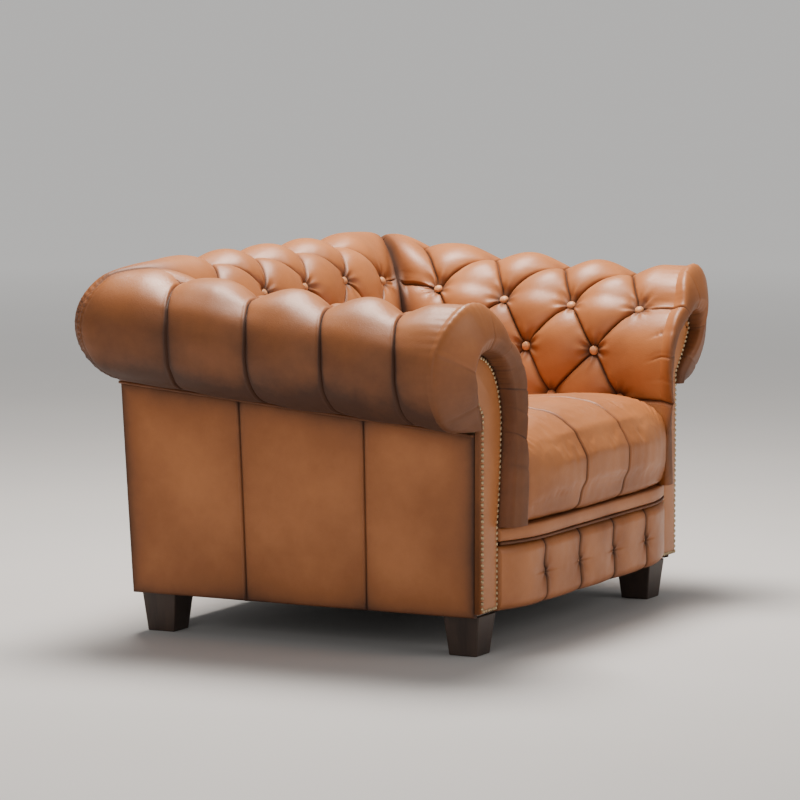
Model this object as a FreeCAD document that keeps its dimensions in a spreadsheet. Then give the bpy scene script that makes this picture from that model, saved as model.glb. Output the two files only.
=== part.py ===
import FreeCAD, Part
import math
import os
import re
import Sketcher
import types
from FreeCAD import Vector

# Leather armchair with rolled arms, deep buttoned inside faces and a loose seat cushion.
# Lengths are millimetres, angles are degrees. X runs across the chair, Y from the front to the back, Z is up.
# The sizes below are measured from the front plane of the box body, and every sub-part is then moved
# along Y, so that the origin lies on the floor under the middle of the chair.
# Left and right are those of a person who sits in the chair: left is +X.

SIZES = {
    # whole chair
    "body_width": 918,
    "body_depth": 752,
    "body_base": 78,
    "back_rake": 25,
    "front_reach": 38,
    "back_overhang": 63,
    "arm_overhang": 173,
    "corner_round": 90,
    "fit": 0.3,
    "overrun": 60,
    # seat well
    "arm_width": 114,
    "back_width": 197,
    "seat_base": 243,
    "wall_high": 157,
    "wall_lean": 2,
    # outside arms and outside back
    "roll_high": 239,
    "side_top_climb": 67,
    "panel_thick": 12,
    "seam_front": 238,
    "seam_rear": 498,
    "seam_width": 3,
    "seam_deep": 1.5,
    "welt_radius": 2.7,
    "panel_drop": 3,
    # rolled arms
    "roll_radius": 117,
    "crest_front": 664,
    "crest_climb": 54,
    "roll_foot_lift": 7,
    "arm_drop_one": 62,
    "arm_drop_two": 156,
    "arm_drop_three": 252,
    "arm_lean_three": 7,
    "arm_lean_two": 29,
    "arm_lean_one": 54,
    "arm_first": 57,
    "arm_last": 42,
    "arm_slant": 0.24,
    # rolled back
    "back_climb": 4,
    "back_roll_radius": 115,
    "back_drop_one": 67,
    "back_drop_two": 162,
    "back_drop_three": 260,
    "back_drop_panel": 212,
    "back_lean_three": 15,
    "back_lean_two": 33,
    "back_lean_one": 50,
    "back_last": 5,
    # tufting
    "tuft_deep": 14,
    "pleat_deep": 9,
    "wall_draw": 5,
    "button_radius": 9,
    "button_high": 5,
    "face_wall": 18,
    "roll_wall": 13,
    "foot_wall": 10,
    "mitre_wall": 40,
    "front_wall": 14,
    "lip_inset": 26,
    # front rail
    "rail_gap": 2,
    "rail_lift": 4,
    "band_high": 34,
    "rail_button_rise": 61,
    "rail_last": 146,
    "rail_end": 143,
    "rail_round": 9,
    "piping_inset": 4,
    "rail_end_reach": 8,
    "piping_radius": 2.5,
    # arm facings and their nails
    "facing_thick": 13,
    "facing_lift": 8,
    "facing_gap": 3,
    "facing_foot": 71,
    "facing_waist_reach": 17,
    "facing_waist_height": 440,
    "facing_neck_lift": 20,
    "facing_head_inset": 109,
    "facing_head_drop": 119,
    "facing_top_drop": 83,
    "nail_radius": 3.8,
    "nail_high": 2.4,
    "nail_pitch": 10.5,
    "nail_inset": 5,
    # wooden frame
    "board_thick": 33,
    "post_deep": 44,
    "rail_thick": 28,
    "rail_drop": 43,
    "arm_rail_drop": 167,
    "arm_rail_deep": 28,
    "tack_rail_deep": 32,
    "roll_board_inset": 61,
    "roll_board_thick": 17,
    "back_post_inset": 52,
    "back_post_deep": 38,
    "back_rail_drop": 124,
    "back_rail_deep": 40,
    # legs
    "leg_foot": 58,
    "leg_head": 75,
    "leg_side_inset": 32,
    "leg_front_inset": 23,
    "leg_rear_inset": 16,
    "glide_radius": 15,
    "glide_thick": 4,
    "plate_size": 60,
    "plate_thick": 2,
    "bolt_radius": 4,
    "bolt_sunk": 33,
    "bolt_reach": 40,
    "block_size": 70,
    "block_high": 50,
    # seat suspension
    "spring_count": 6,
    "spring_margin": 55,
    "spring_wire": 1.8,
    "spring_loop": 16,
    "spring_run": 18,
    "clip_width": 24,
    "clip_deep": 14,
    "clip_thick": 1.4,
    "cloth_thick": 1.2,
    "deck_cover_thick": 4,
    "webbing_width": 50,
    "webbing_thick": 4,
    "webbing_gap": 20,
    # loose seat cushion
    "cushion_gap": 2,
    "cushion_rear_gap": 15,
    "cushion_thick": 168,
    "cushion_crown": 28,
    "cushion_panel": 243,
    "cushion_wall": 9,
    "cushion_round": 26,
    "cushion_channel": 5,
    "cushion_lip": 28,
    "zip_end": 53,
    "zip_width": 16,
    "zip_lift": 79,
    "slider_long": 16,
    "slider_high": 10,
    "slider_thick": 3.2,
}

# places and sizes that follow from those above, worked out in the sheet
TIED_SIZES = {
    "rear_reach": "body_depth + back_overhang",
    "arm_reach": "body_width / 2 + arm_overhang",
    "seat_half": "body_width / 2 - arm_width",
    "seat_depth": "body_depth - back_width",
    "wall_top": "seat_base + wall_high",
    "side_top_front": "crest_front - roll_high",
    "side_top_rear": "side_top_front + side_top_climb",
    "crest_rear": "crest_front + crest_climb",
    "arm_row_one": "crest_front - arm_drop_one",
    "arm_row_two": "crest_front - arm_drop_two",
    "arm_row_three": "crest_front - arm_drop_three",
    "arm_pitch": "(seat_depth - arm_first - arm_last) / 3",
    "back_crest": "crest_rear + back_climb",
    "back_row_one": "back_crest - back_drop_one",
    "back_row_two": "back_crest - back_drop_two",
    "back_row_three": "back_crest - back_drop_three",
    "back_panel_top": "back_crest - back_drop_panel",
    "back_pitch": "(seat_half - back_last) / 2",
    "facing_foot_out": "body_width / 2 - facing_gap",
    "facing_foot_in": "facing_foot_out - facing_foot",
    "facing_waist": "facing_foot_in - facing_waist_reach",
    "facing_low": "body_base + facing_lift",
    "facing_head": "arm_reach - facing_head_inset",
    "facing_head_height": "crest_front - facing_head_drop",
    "facing_top": "crest_front - facing_top_drop",
    "rail_half": "facing_foot_in - rail_gap",
    "rail_low": "body_base + rail_lift",
    "rail_high": "seat_base - band_high",
    "rail_button_height": "rail_low + rail_button_rise",
    "rail_button_pitch": "(rail_half - rail_last) / 1.5",
    "rail_straight": "rail_half - rail_end",
    "frame_low": "body_base + rail_lift",
    "rail_top": "seat_base - rail_drop",
    "arm_rail_high": "crest_front - arm_rail_drop",
    "back_post_place": "body_depth - back_post_inset",
    "back_rail_top": "back_crest - back_rail_drop",
    "spring_pitch": "(seat_half - spring_margin) * 2 / (spring_count - 1)",
    "cushion_half": "seat_half - cushion_gap",
    "cushion_rear": "seat_depth - cushion_rear_gap",
    "cushion_edge": "seat_base + cushion_thick",
    "cushion_seam": "cushion_half - cushion_panel",
    "zip_half": "cushion_half - zip_end",
    "zip_height": "seat_base + zip_lift",
}

doc = FreeCAD.newDocument("leather_armchair")
sheet = doc.addObject("Spreadsheet::Sheet", "Sizes")
SHEET = dict(SIZES, **{alias: "=" + formula for alias, formula in TIED_SIZES.items()})
for row, (alias, value) in enumerate(SHEET.items(), start=1):
    sheet.set("A%d" % row, alias)
    sheet.setAlias("B%d" % row, alias)
    sheet.set("B%d" % row, str(value))
doc.recompute()
size = types.SimpleNamespace(**{alias: float(sheet.get(alias)) for alias in SHEET})

TO_MIDDLE = "(front_reach - rear_reach) / 2"
subparts = []


def words(text):
    """An expression's text, with the sheet's name before each alias."""
    return re.sub(r"[a-z_]+", lambda word: ("Sizes." if word.group() in SHEET else "") + word.group(), text)


def keep(feature, name):
    """Marks a feature as a finished sub-part, whose label names its file."""
    feature.Label = name
    subparts.append(feature)
    return feature


def centre(feature):
    """Moves a finished sub-part from the front plane's place to the chair's middle."""
    feature.setExpression("Placement.Base.y", words(TO_MIDDLE))
    return feature


def block(name, low, high, tool=False):
    """A board between its lowest and highest corners, both given as expressions."""
    box = doc.addObject("Part::Box", name)
    for side, start, end in zip(("Length", "Width", "Height"), low, high):
        box.setExpression(side, words("(%s) - (%s)" % (end, start)))
    for axis, start in zip("xyz", low):
        shift = " + " + TO_MIDDLE if axis == "y" and not tool else ""
        box.setExpression("Placement.Base." + axis, words(start + shift))
    return box if tool else keep(box, name)


def solid(name, shape, tool=False):
    """A sub-part whose shape is made by a loft, a sweep or an extrusion from the sheet's sizes."""
    feature = doc.addObject("Part::Feature", name)
    feature.Shape = shape
    return feature if tool else keep(centre(feature), name)


def cut(name, base, tools, tool=False):
    """The base with the room of each tool taken out of it in turn."""
    for step, room in enumerate(tools, start=1):
        feature = doc.addObject("Part::Cut", name if step == len(tools) else "%s_step_%d" % (name, step))
        feature.Base = base
        feature.Tool = room
        base = feature
    return base if tool else keep(centre(base), name)


def group(name, features, tool=False):
    """Several separate solids, or tools, in one feature."""
    feature = doc.addObject("Part::Compound", name)
    feature.Links = features
    return feature if tool else keep(centre(feature), name)


def mirrored(name, source, tool=False):
    """The same sub-part, or tool, on the other side of the chair."""
    feature = doc.addObject("Part::Mirroring", name)
    feature.Source = source
    feature.Normal = Vector(1, 0, 0)
    return feature if tool else keep(feature, name)


def outline(edges, place):
    """A closed wire. Each entry is a corner and, where an arc leaves it, the arc's middle point."""
    wire = []
    for (corner, middle), (following, _) in zip(edges, edges[1:] + edges[:1]):
        if middle is None:
            wire.append(Part.LineSegment(place(*corner), place(*following)).toShape())
        else:
            wire.append(Part.Arc(place(*corner), place(*middle), place(*following)).toShape())
    return Part.Wire(wire)


def prism(edges, place, along):
    """A solid drawn out from a closed outline along a vector."""
    return Part.Face(outline(edges, place)).extrude(along)


def swell(start, end, share):
    """Middle point of an arc that stands proud of its chord, on the left, by a share of the length."""
    du = end[0] - start[0]
    dz = end[1] - start[1]
    return ((start[0] + end[0]) / 2 - share * dz, (start[1] + end[1]) / 2 + share * du)


def between(start, end, share):
    """A point part of the way from one point to another."""
    return (start[0] + (end[0] - start[0]) * share, start[1] + (end[1] - start[1]) * share)


# Deep buttoned sections. A section runs up the inside face from the seat, over the roll and down its
# underside. The buttons of rows one and three lie in one section and those of row two half a pitch on,
# so that the pleats between them draw diamonds, and one straight pleat runs from each upper button
# over the roll.

FULL_SHARE = 0.14
SHOULDER_SHARE = 0.2
FLAT_SHARE = 0.04
PLEAT_SHARE = 0.2
CORE_SHARES = (0, 0.15, 0.3, 0.5, 0.75, 1)


def leaned(point, deep):
    """A point of the inside face drawn in by a depth."""
    return (point[0] + deep, point[1])


def buttoned(rows, kind):
    """The two pleat points of a section, the draw of its roll and the swell of its leather."""
    three, two, one = rows
    draw = size.tuft_deep
    if kind == "upper":
        return leaned(three, size.wall_draw), leaned(one, draw), size.pleat_deep, FULL_SHARE, FLAT_SHARE
    if kind == "lower":
        low = (two[0], two[1] - size.button_radius)
        high = (two[0], two[1] + size.button_radius)
        return leaned(low, draw), leaned(high, draw), 0, FULL_SHARE, SHOULDER_SHARE
    low = leaned(between(three, two, 0.5), size.pleat_deep)
    high = leaned(between(two, one, 0.5), size.pleat_deep)
    return low, high, size.pleat_deep * PLEAT_SHARE, FULL_SHARE, FULL_SHARE


def roll_point(roll, angle, inset=0):
    """A point on the roll, whose middle and two radii are given."""
    (middle_u, middle_z), (radius_u, radius_z) = roll
    turn = math.radians(angle)
    return (middle_u + (radius_u - inset) * math.cos(turn), middle_z + (radius_z - inset) * math.sin(turn))


def roll_edges(roll, angles, inset=0):
    """Arcs over the roll from angle to angle."""
    edges = []
    for angle, following in zip(angles, angles[1:]):
        middle = roll_point(roll, (angle + following) / 2, inset)
        edges.append((roll_point(roll, angle, inset), middle))
    return edges + [(roll_point(roll, angles[-1], inset), None)]


def tufted(foot, wall, rows, roll, tail, kind, angles):
    """One tufted section, closed along its foot."""
    low, high, draw, swell_low, swell_high = buttoned(rows, kind)
    shoulder = roll_point(roll, angles[0], draw)
    edges = [(foot, None)]
    edges.append((wall, swell(wall, low, FULL_SHARE if kind == "lower" else FLAT_SHARE)))
    edges.append((low, swell(low, high, swell_low if kind != "lower" else FLAT_SHARE)))
    edges.append((high, swell(high, shoulder, swell_high)))
    return edges + roll_edges(roll, angles, draw) + [(point, None) for point in tail]


def plain(foot, wall, rows, roll, tail, angles, face_inset, roll_inset, foot_inset):
    """A section with no tufts, drawn in from the leather by a wall."""
    three, two, one = rows
    edges = [(leaned(foot, foot_inset), None), (leaned(wall, foot_inset), None)]
    edges += [(leaned(two, face_inset), None), (leaned(one, face_inset), None)]
    return edges + roll_edges(roll, angles, roll_inset) + [(point, None) for point in tail]


# Rolled arms, made for the left side and mirrored for the right one

ARM_ANGLES = (135, 90, 30, -30, -90)
CREST_CURVE = 1.5
ROW_RISE_SHARE = 0.55
WALL_LINE = size.body_width / 2 - size.panel_thick
INNER_CORNER = (size.seat_half, size.seat_depth)
OUTER_CORNER = (size.arm_reach, size.rear_reach)


def side_top(y):
    """Height of the outside arm's top edge, which rises to the back."""
    rise = size.side_top_rear - size.side_top_front
    return size.side_top_front + rise * y / (size.body_depth + size.back_rake)


def arm_rise(y):
    """Rise of the arm's crest behind its front end."""
    run = max(y, 0) / size.rear_reach
    return (size.crest_rear - size.crest_front) * run ** CREST_CURVE


def arm_roll(y, inset=0):
    """Middle and radii of the arm's roll at a place along the arm."""
    crest = size.crest_front + arm_rise(y)
    foot = side_top(y) + size.roll_foot_lift
    middle = (size.arm_reach - size.roll_radius, (crest + foot) / 2)
    return (middle, (size.roll_radius - inset, (crest - foot) / 2 - inset))


def arm_rows(y):
    """Rows three, two and one of the arm's buttons."""
    rise = arm_rise(y) * ROW_RISE_SHARE
    heights = (size.arm_row_three, size.arm_row_two, size.arm_row_one)
    leans = (size.arm_lean_three, size.arm_lean_two, size.arm_lean_one)
    return [(size.seat_half + lean, height + rise * share)
            for lean, height, share in zip(leans, heights, (0, 0.5, 1))]


def arm_place(y, slant):
    """Puts a section across the arm; a slanted one lies further back on its outer side."""
    return lambda u, z: Vector(u, y + slant * (u - size.seat_half - size.arm_lean_one), z)


def arm_section(y, kind, slant):
    foot = (size.seat_half, size.seat_base)
    wall = (size.seat_half + size.wall_lean, size.wall_top)
    tail = ((WALL_LINE, side_top(y)), (WALL_LINE, size.seat_base))
    return outline(tufted(foot, wall, arm_rows(y), arm_roll(y), tail, kind, ARM_ANGLES), arm_place(y, slant))


def arm_front_section(y, inset):
    """A section of the swelling lip that the leather makes around the facing."""
    foot = (size.seat_half + inset, size.seat_base)
    wall = (size.seat_half + size.wall_lean + inset, size.wall_top)
    rows = [leaned(row, inset) for row in arm_rows(0)]
    tail = ((WALL_LINE, side_top(0) + inset), (WALL_LINE, size.seat_base))
    edges = tufted(foot, wall, rows, arm_roll(0, inset), tail, "middle", ARM_ANGLES)
    return outline(edges, arm_place(y, 0))


LIP_SHARES = ((-1, 1), (-0.7, 0.3), (0, 0))
ARM_UPPER_COUNT = 4
arm_stations = []
for along, inset in LIP_SHARES:
    arm_stations.append(arm_front_section(size.front_reach * along, size.lip_inset * inset))
for index in range(ARM_UPPER_COUNT):
    start = size.arm_first + index * size.arm_pitch
    for quarter, kind in enumerate(("upper", "middle", "lower", "middle")):
        if index < ARM_UPPER_COUNT - 1 or kind != "middle" or quarter == 1:
            arm_stations.append(arm_section(start + quarter * size.arm_pitch / 4, kind, size.arm_slant))
arm_stations.append(arm_section(size.rear_reach + size.overrun, "lower", 0))
arm_full = solid("arm_full", Part.makeLoft(arm_stations, True, True), tool=True)


MITRE_RUNS = 3


def mitre_tool(offset, keep_arm):
    """A prism on one side of the upright plane where arm and back meet."""
    run = Vector(OUTER_CORNER[0] - INNER_CORNER[0], OUTER_CORNER[1] - INNER_CORNER[1], 0)
    start = Vector(INNER_CORNER[0], INNER_CORNER[1] + offset, 0) - run
    end = start + run * MITRE_RUNS
    third = Vector(start.x, end.y, 0) if keep_arm else Vector(end.x, start.y, 0)
    face = Part.Face(Part.makePolygon([start, end, third, start]))
    return face.extrude(Vector(0, 0, size.back_crest + size.overrun))


def corner_tool():
    """The room outside the rounded rear corner, seen from above."""
    x = size.arm_reach
    y = size.rear_reach
    turn = size.corner_round
    out = size.overrun
    middle = turn * (1 - math.sqrt(0.5))
    edges = [((x - turn, y), (x - middle, y - middle)), ((x, y - turn), None), ((x + out, y - turn), None),
             ((x + out, y + out), None), ((x - turn, y + out), None)]
    return prism(edges, lambda u, v: Vector(u, v, 0), Vector(0, 0, size.back_crest + size.overrun))


def arm_core(inset, start, tail_line, low, mitre_gap):
    """The room inside the arm's leather, or the foam that fills it, one fit smaller."""
    sections = []
    for share in CORE_SHARES:
        y = start + (size.rear_reach + size.overrun - start) * share
        foot = (size.seat_half, low)
        wall = (size.seat_half + size.wall_lean, size.wall_top)
        tail = ((tail_line, side_top(y) + size.roll_wall + inset), (tail_line, low))
        edges = plain(foot, wall, arm_rows(y), arm_roll(y), tail, ARM_ANGLES,
                      size.face_wall + inset, size.roll_wall + inset, size.foot_wall + inset)
        sections.append(outline(edges, arm_place(y, 0)))
    return Part.makeLoft(sections, True, True).cut(mitre_tool(-size.mitre_wall - mitre_gap, True))


FACING_SHOULDER_SHARE = 0.27
FACING_CROWN_SHARE = 0.17
FACING_KNEE_SWELL = 0.02
FACING_WAIST_SWELL = 0.09
FACING_CROWN_SWELL = 0.15
FACING_HEAD_SWELL = 0.03


def facing_edges(grow=0):
    """The paddle-shaped outline of the arm's front facing, arcs on its curved sides."""
    foot_in = (size.facing_foot_in - grow, size.facing_low - grow)
    waist = (size.facing_waist - grow, size.facing_waist_height)
    head = (size.facing_head + grow, size.facing_head_height)
    shoulder = between(waist, (size.facing_head - grow, size.facing_top + grow), FACING_SHOULDER_SHARE)
    shoulder = (shoulder[0], shoulder[1] + (size.facing_top - size.facing_waist_height) / 2)
    crown_in = (size.facing_head - size.facing_waist) * FACING_CROWN_SHARE
    crown = (size.facing_head - crown_in, size.facing_top + grow)
    neck = (size.facing_foot_out + grow, size.facing_waist_height + size.facing_neck_lift)
    foot_out = (size.facing_foot_out + grow, size.facing_low - grow)
    knee_in = (foot_in[0], size.seat_base)
    return [(foot_in, None), (knee_in, swell(knee_in, waist, FACING_KNEE_SWELL)),
            (waist, swell(waist, shoulder, FACING_WAIST_SWELL)),
            (shoulder, swell(shoulder, crown, FACING_WAIST_SWELL)),
            (crown, swell(crown, head, FACING_CROWN_SWELL)),
            (head, swell(head, neck, FACING_HEAD_SWELL)), (neck, None), (foot_out, None)]


def front_plane(u, z):
    """A point of the front plane."""
    return Vector(u, 0, z)


BUTTON_DOME_SHARE = 0.5


def domed_disc(radius, high):
    """A round disc with a domed top, standing on the origin."""
    dome = high * BUTTON_DOME_SHARE
    ball = (radius ** 2 + dome ** 2) / (2 * dome)
    return Part.makeCylinder(radius, high).common(Part.makeSphere(ball, Vector(0, 0, high - ball)))


def placed(disc, point, normal):
    """A copy of a disc, which stands on a point and faces along a normal."""
    copy = disc.copy()
    copy.Placement = FreeCAD.Placement(point, FreeCAD.Rotation(Vector(0, 0, 1), normal))
    return copy


BUTTON_TURNS = {"three": 5, "two": 15, "one": 30}


def button_set(seats):
    """The buttons of one face, and the round seats that their leather makes for them."""
    disc = domed_disc(size.button_radius, size.button_high)
    discs = []
    wells = []
    for point, normal in seats:
        discs.append(placed(disc, point + normal * size.fit, normal))
        wells.append(Part.makeCylinder(size.button_radius + size.fit, size.overrun / 2, point, normal))
    return Part.makeCompound(discs), Part.makeCompound(wells)


def arm_button_seats():
    """Place and direction of each button of an arm: rows one and three, and row two half a pitch on."""
    seats = []
    for row, (name, shift, count) in enumerate((("three", 0, 4), ("two", 0.5, 3), ("one", 0, 4))):
        turn = math.radians(BUTTON_TURNS[name])
        normal = Vector(-math.cos(turn), 0, math.sin(turn))
        for index in range(count):
            y = size.arm_first + (index + shift) * size.arm_pitch
            u, z = leaned(arm_rows(y)[row], size.wall_draw if name == "three" else size.tuft_deep)
            seats.append((arm_place(y, size.arm_slant)(u, z), normal))
    return seats


arm_discs, arm_wells = button_set(arm_button_seats())
recess = prism(facing_edges(size.fit), front_plane, Vector(0, size.front_wall + size.overrun, 0))
recess.translate(Vector(0, -size.overrun, 0))
arm_room = arm_core(0, size.front_wall, WALL_LINE + size.foot_wall / 2, size.seat_base - size.foot_wall, 0)
arm_foam = arm_core(size.fit, size.front_wall + size.fit, WALL_LINE - size.fit, size.seat_base, size.fit)
hollow_low = ("body_width / 2 - panel_thick - board_thick - 2 * fit", "front_wall",
              "seat_base - foot_wall")
hollow_high = ("body_width / 2", "back_post_place", "arm_rail_high + arm_rail_deep + fit")
board_low = (hollow_low[0], "front_wall", hollow_high[2])
board_high = ("arm_reach - roll_board_inset + fit", "seat_depth + foot_wall",
              hollow_high[2] + " + roll_board_thick + 2 * fit")
arm_hollow_left = block("arm_hollow_left", hollow_low, hollow_high, tool=True)
arm_hollow_right = mirrored("arm_hollow_right", arm_hollow_left, tool=True)
board_room = block("board_room", board_low, board_high, tool=True)
arm_mitre = solid("arm_mitre", mitre_tool(0, True), tool=True)
corner_left = solid("corner_left", corner_tool(), tool=True)
corner_right = mirrored("corner_right", corner_left, tool=True)

arm_cover_left = cut("arm_cover_left", arm_full, [
    arm_mitre, corner_left, solid("arm_room", arm_room, tool=True), solid("facing_recess", recess, tool=True),
    arm_hollow_left, solid("arm_wells", arm_wells, tool=True)])
arm_foam_left = cut("arm_foam_left", solid("arm_foam_full", arm_foam, tool=True), [arm_hollow_left, board_room])
arm_buttons_left = solid("arm_buttons_left", arm_discs)
mirrored("arm_cover_right", arm_cover_left)
mirrored("arm_foam_right", arm_foam_left)
mirrored("arm_buttons_right", arm_buttons_left)

# Rolled back, lofted from side to side and cut where it meets the arms

BACK_UPPER_COUNT = 5
BACK_ROLL = ((size.rear_reach - size.back_roll_radius, size.back_crest - size.back_roll_radius),
             (size.back_roll_radius, size.back_roll_radius))


def back_line(z):
    """Y of the outside back's inner face, which leans to the rear with height."""
    rise = (z - size.body_base) / (size.side_top_rear - size.body_base)
    return size.body_depth + size.back_rake * rise - size.panel_thick


def back_angles(inset=0):
    """Angles over the back's roll, down to where it meets the outside back."""
    across = (back_line(size.back_panel_top) - BACK_ROLL[0][0]) / (size.back_roll_radius - inset)
    return (135, 90, 30, -30, -math.degrees(math.acos(across)))


def back_rows():
    """Rows three, two and one of the back's buttons."""
    heights = (size.back_row_three, size.back_row_two, size.back_row_one)
    leans = (size.back_lean_three, size.back_lean_two, size.back_lean_one)
    return [(size.seat_depth + lean, height) for lean, height in zip(leans, heights)]


def back_section(x, kind):
    foot = (size.seat_depth, size.seat_base)
    wall = (size.seat_depth + size.wall_lean, size.wall_top)
    tail = ((back_line(size.seat_base), size.seat_base),)
    edges = tufted(foot, wall, back_rows(), BACK_ROLL, tail, kind, back_angles())
    return outline(edges, lambda u, z: Vector(x, u, z))


def back_core(inset, tail_shift, low, gap):
    """The room inside the back's leather, or the foam that fills it, one fit smaller."""
    foot = (size.seat_depth, low)
    wall = (size.seat_depth + size.wall_lean, size.wall_top)
    tail = ((back_line(size.back_panel_top) + tail_shift, size.back_panel_top + size.roll_wall + inset),
            (back_line(low) + tail_shift, low))
    edges = plain(foot, wall, back_rows(), BACK_ROLL, tail, back_angles(size.roll_wall + inset),
                  size.face_wall + inset, size.roll_wall + inset, size.foot_wall + inset)
    core = prism(edges, lambda u, z: Vector(-size.arm_reach, u, z), Vector(2 * size.arm_reach, 0, 0))
    sides = [mitre_tool(size.mitre_wall + gap, False),
             under_roll_tool(WALL_LINE + tail_shift, size.roll_wall + inset)]
    return core.cut(sides + [side.mirror(Vector(), Vector(1, 0, 0)) for side in sides])


def under_roll_tool(side_line, inset=0):
    """The room under the arm's roll, which the back's corner piece leaves free as well."""
    y = size.body_depth
    roll = arm_roll(y)
    out = size.arm_reach + size.overrun
    edges = [((side_line, 0), None), ((side_line, side_top(y) + inset), None)]
    edges += [(roll_point(roll, -90, inset), roll_point(roll, -60, inset)),
              (roll_point(roll, -30, inset), None)]
    edges += [((out, roll_point(roll, -30, inset)[1]), None), ((out, 0), None)]
    tool = prism(edges, front_plane, Vector(0, size.rear_reach, 0))
    tool.translate(Vector(0, size.seat_depth, 0))
    return tool


def back_button_seats():
    """Place and direction of each button of the back."""
    seats = []
    outer = (-2, -1, 0, 1, 2)
    between_them = (-1.5, -0.5, 0.5, 1.5)
    for row, (name, columns) in enumerate((("three", outer), ("two", between_them), ("one", outer))):
        turn = math.radians(BUTTON_TURNS[name])
        normal = Vector(0, -math.cos(turn), math.sin(turn))
        for column in columns:
            u, z = leaned(back_rows()[row], size.wall_draw if name == "three" else size.tuft_deep)
            seats.append((Vector(column * size.back_pitch, u, z), normal))
    return seats


back_stations = [back_section(-size.arm_reach - size.overrun, "lower")]
back_start = -size.back_pitch * (BACK_UPPER_COUNT - 1) / 2
back_stations.append(back_section(back_start - size.back_pitch / 2, "lower"))
back_stations.append(back_section(back_start - size.back_pitch / 4, "middle"))
for index in range(BACK_UPPER_COUNT):
    start = back_start + index * size.back_pitch
    for quarter, kind in enumerate(("upper", "middle", "lower", "middle")):
        if index < BACK_UPPER_COUNT - 1 or quarter < 3:
            back_stations.append(back_section(start + quarter * size.back_pitch / 4, kind))
back_stations.append(back_section(size.arm_reach + size.overrun, "lower"))
back_discs, back_wells = button_set(back_button_seats())
back_mitre_left = solid("back_mitre_left", mitre_tool(size.fit, False), tool=True)
under_roll_left = solid("under_roll_left", under_roll_tool(WALL_LINE), tool=True)
hollow_front = "back_post_place - 2 * webbing_thick - 3 * fit"
back_hollow = block("back_hollow", ("panel_thick - body_width / 2", hollow_front, "seat_base - foot_wall"),
                    ("body_width / 2 - panel_thick", "body_depth - panel_thick + foot_wall / 2",
                     "back_rail_top + fit"), tool=True)
back_room = back_core(0, size.foot_wall / 2, size.seat_base - size.foot_wall, 0)
back_foam = back_core(size.fit, -size.fit, size.seat_base, size.fit)
hollows = [back_hollow, arm_hollow_left, arm_hollow_right]
cut("back_cover", solid("back_full", Part.makeLoft(back_stations, True, True), tool=True), [
    back_mitre_left, mirrored("back_mitre_right", back_mitre_left, tool=True), corner_left, corner_right,
    under_roll_left, mirrored("under_roll_right", under_roll_left, tool=True),
    solid("back_room", back_room, tool=True)] + hollows + [solid("back_wells", back_wells, tool=True)])
cut("back_foam", solid("back_foam_full", back_foam, tool=True), hollows)
solid("back_buttons", back_discs)

# Outside arms and outside back: leather over board, with two upright seams on each side


def side_panel():
    """The outside arm, seen from the side, whose top edge rises and whose rear edge leans back."""
    start = size.facing_thick + 2 * size.fit
    rear = size.body_depth + size.back_rake
    edges = [((start, size.body_base), None), ((size.body_depth, size.body_base), None),
             ((rear, side_top(rear) - size.panel_drop), None),
             ((start, side_top(start) - size.panel_drop), None)]
    panel = prism(edges, lambda u, z: Vector(WALL_LINE, u, z), Vector(size.panel_thick, 0, 0))
    for seam in (size.seam_front, size.seam_rear):
        corner = Vector(size.body_width / 2 - size.seam_deep, seam - size.seam_width / 2, 0)
        height = size.side_top_rear + size.overrun
        panel = panel.cut(Part.makeBox(size.overrun, size.seam_width, height, corner))
    return panel


outside_arm_left = solid("outside_arm_left", side_panel())
mirrored("outside_arm_right", outside_arm_left)
back_low = (back_line(size.body_base), size.body_base)
back_high = (back_line(size.back_panel_top), size.back_panel_top)
solid("outside_back", prism([(back_low, None), ((back_low[0] + size.panel_thick, back_low[1]), None),
                             ((back_high[0] + size.panel_thick, back_high[1]), None), (back_high, None)],
                            lambda u, z: Vector(size.fit - WALL_LINE, u, z),
                            Vector(2 * (WALL_LINE - size.fit), 0, 0)))


def welt_point(y):
    """A point of the welt in the corner under the arm's roll."""
    x = size.body_width / 2 + size.fit + size.welt_radius
    return Vector(x, y, side_top(y) - size.panel_drop - size.fit)


welt_start = welt_point(size.facing_thick + 2 * size.fit)
welt_run = welt_point(size.body_depth + size.back_rake) - welt_start
welt = Part.makeCylinder(size.welt_radius, welt_run.Length, welt_start, welt_run)
side_welt_left = solid("side_welt_left", welt)
mirrored("side_welt_right", side_welt_left)
back_welt_start = Vector(-WALL_LINE, back_high[0] + size.panel_thick / 2,
                         size.back_panel_top + size.fit + size.welt_radius)
solid("back_welt", Part.makeCylinder(size.welt_radius, 2 * WALL_LINE, back_welt_start, Vector(1, 0, 0)))

# Front facings and their close nails

facing = prism(facing_edges(), front_plane, Vector(0, size.facing_thick, 0))
facing.translate(Vector(0, size.fit, 0))
arm_facing_left = solid("arm_facing_left", facing)
mirrored("arm_facing_right", arm_facing_left)
nail_line = outline(facing_edges(), front_plane).makeOffset2D(-size.nail_inset)
nail_count = int(nail_line.Length / size.nail_pitch)
nail_points = nail_line.discretize(Number=nail_count + 1)[:-1]
nail_head = domed_disc(size.nail_radius, size.nail_high)
nails = [placed(nail_head, point, Vector(0, -1, 0)) for point in nail_points]
facing_nails_left = solid("facing_nails_left", Part.makeCompound(nails))
mirrored("facing_nails_right", facing_nails_left)

# Buttoned front rail, its piping and the plain band above it

RAIL_SHARE = 0.04
RAIL_BUTTONS = (-1.5, -0.5, 0.5, 1.5)
RAIL_QUARTERS = 8


def rail_reach(x):
    """How far the front rail stands proud of the front plane; its ends curve back."""
    out = max(abs(x) - size.rail_straight, 0) / (size.rail_half - size.rail_straight)
    return size.front_reach - (size.front_reach - size.rail_end_reach) * out ** 2


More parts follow.
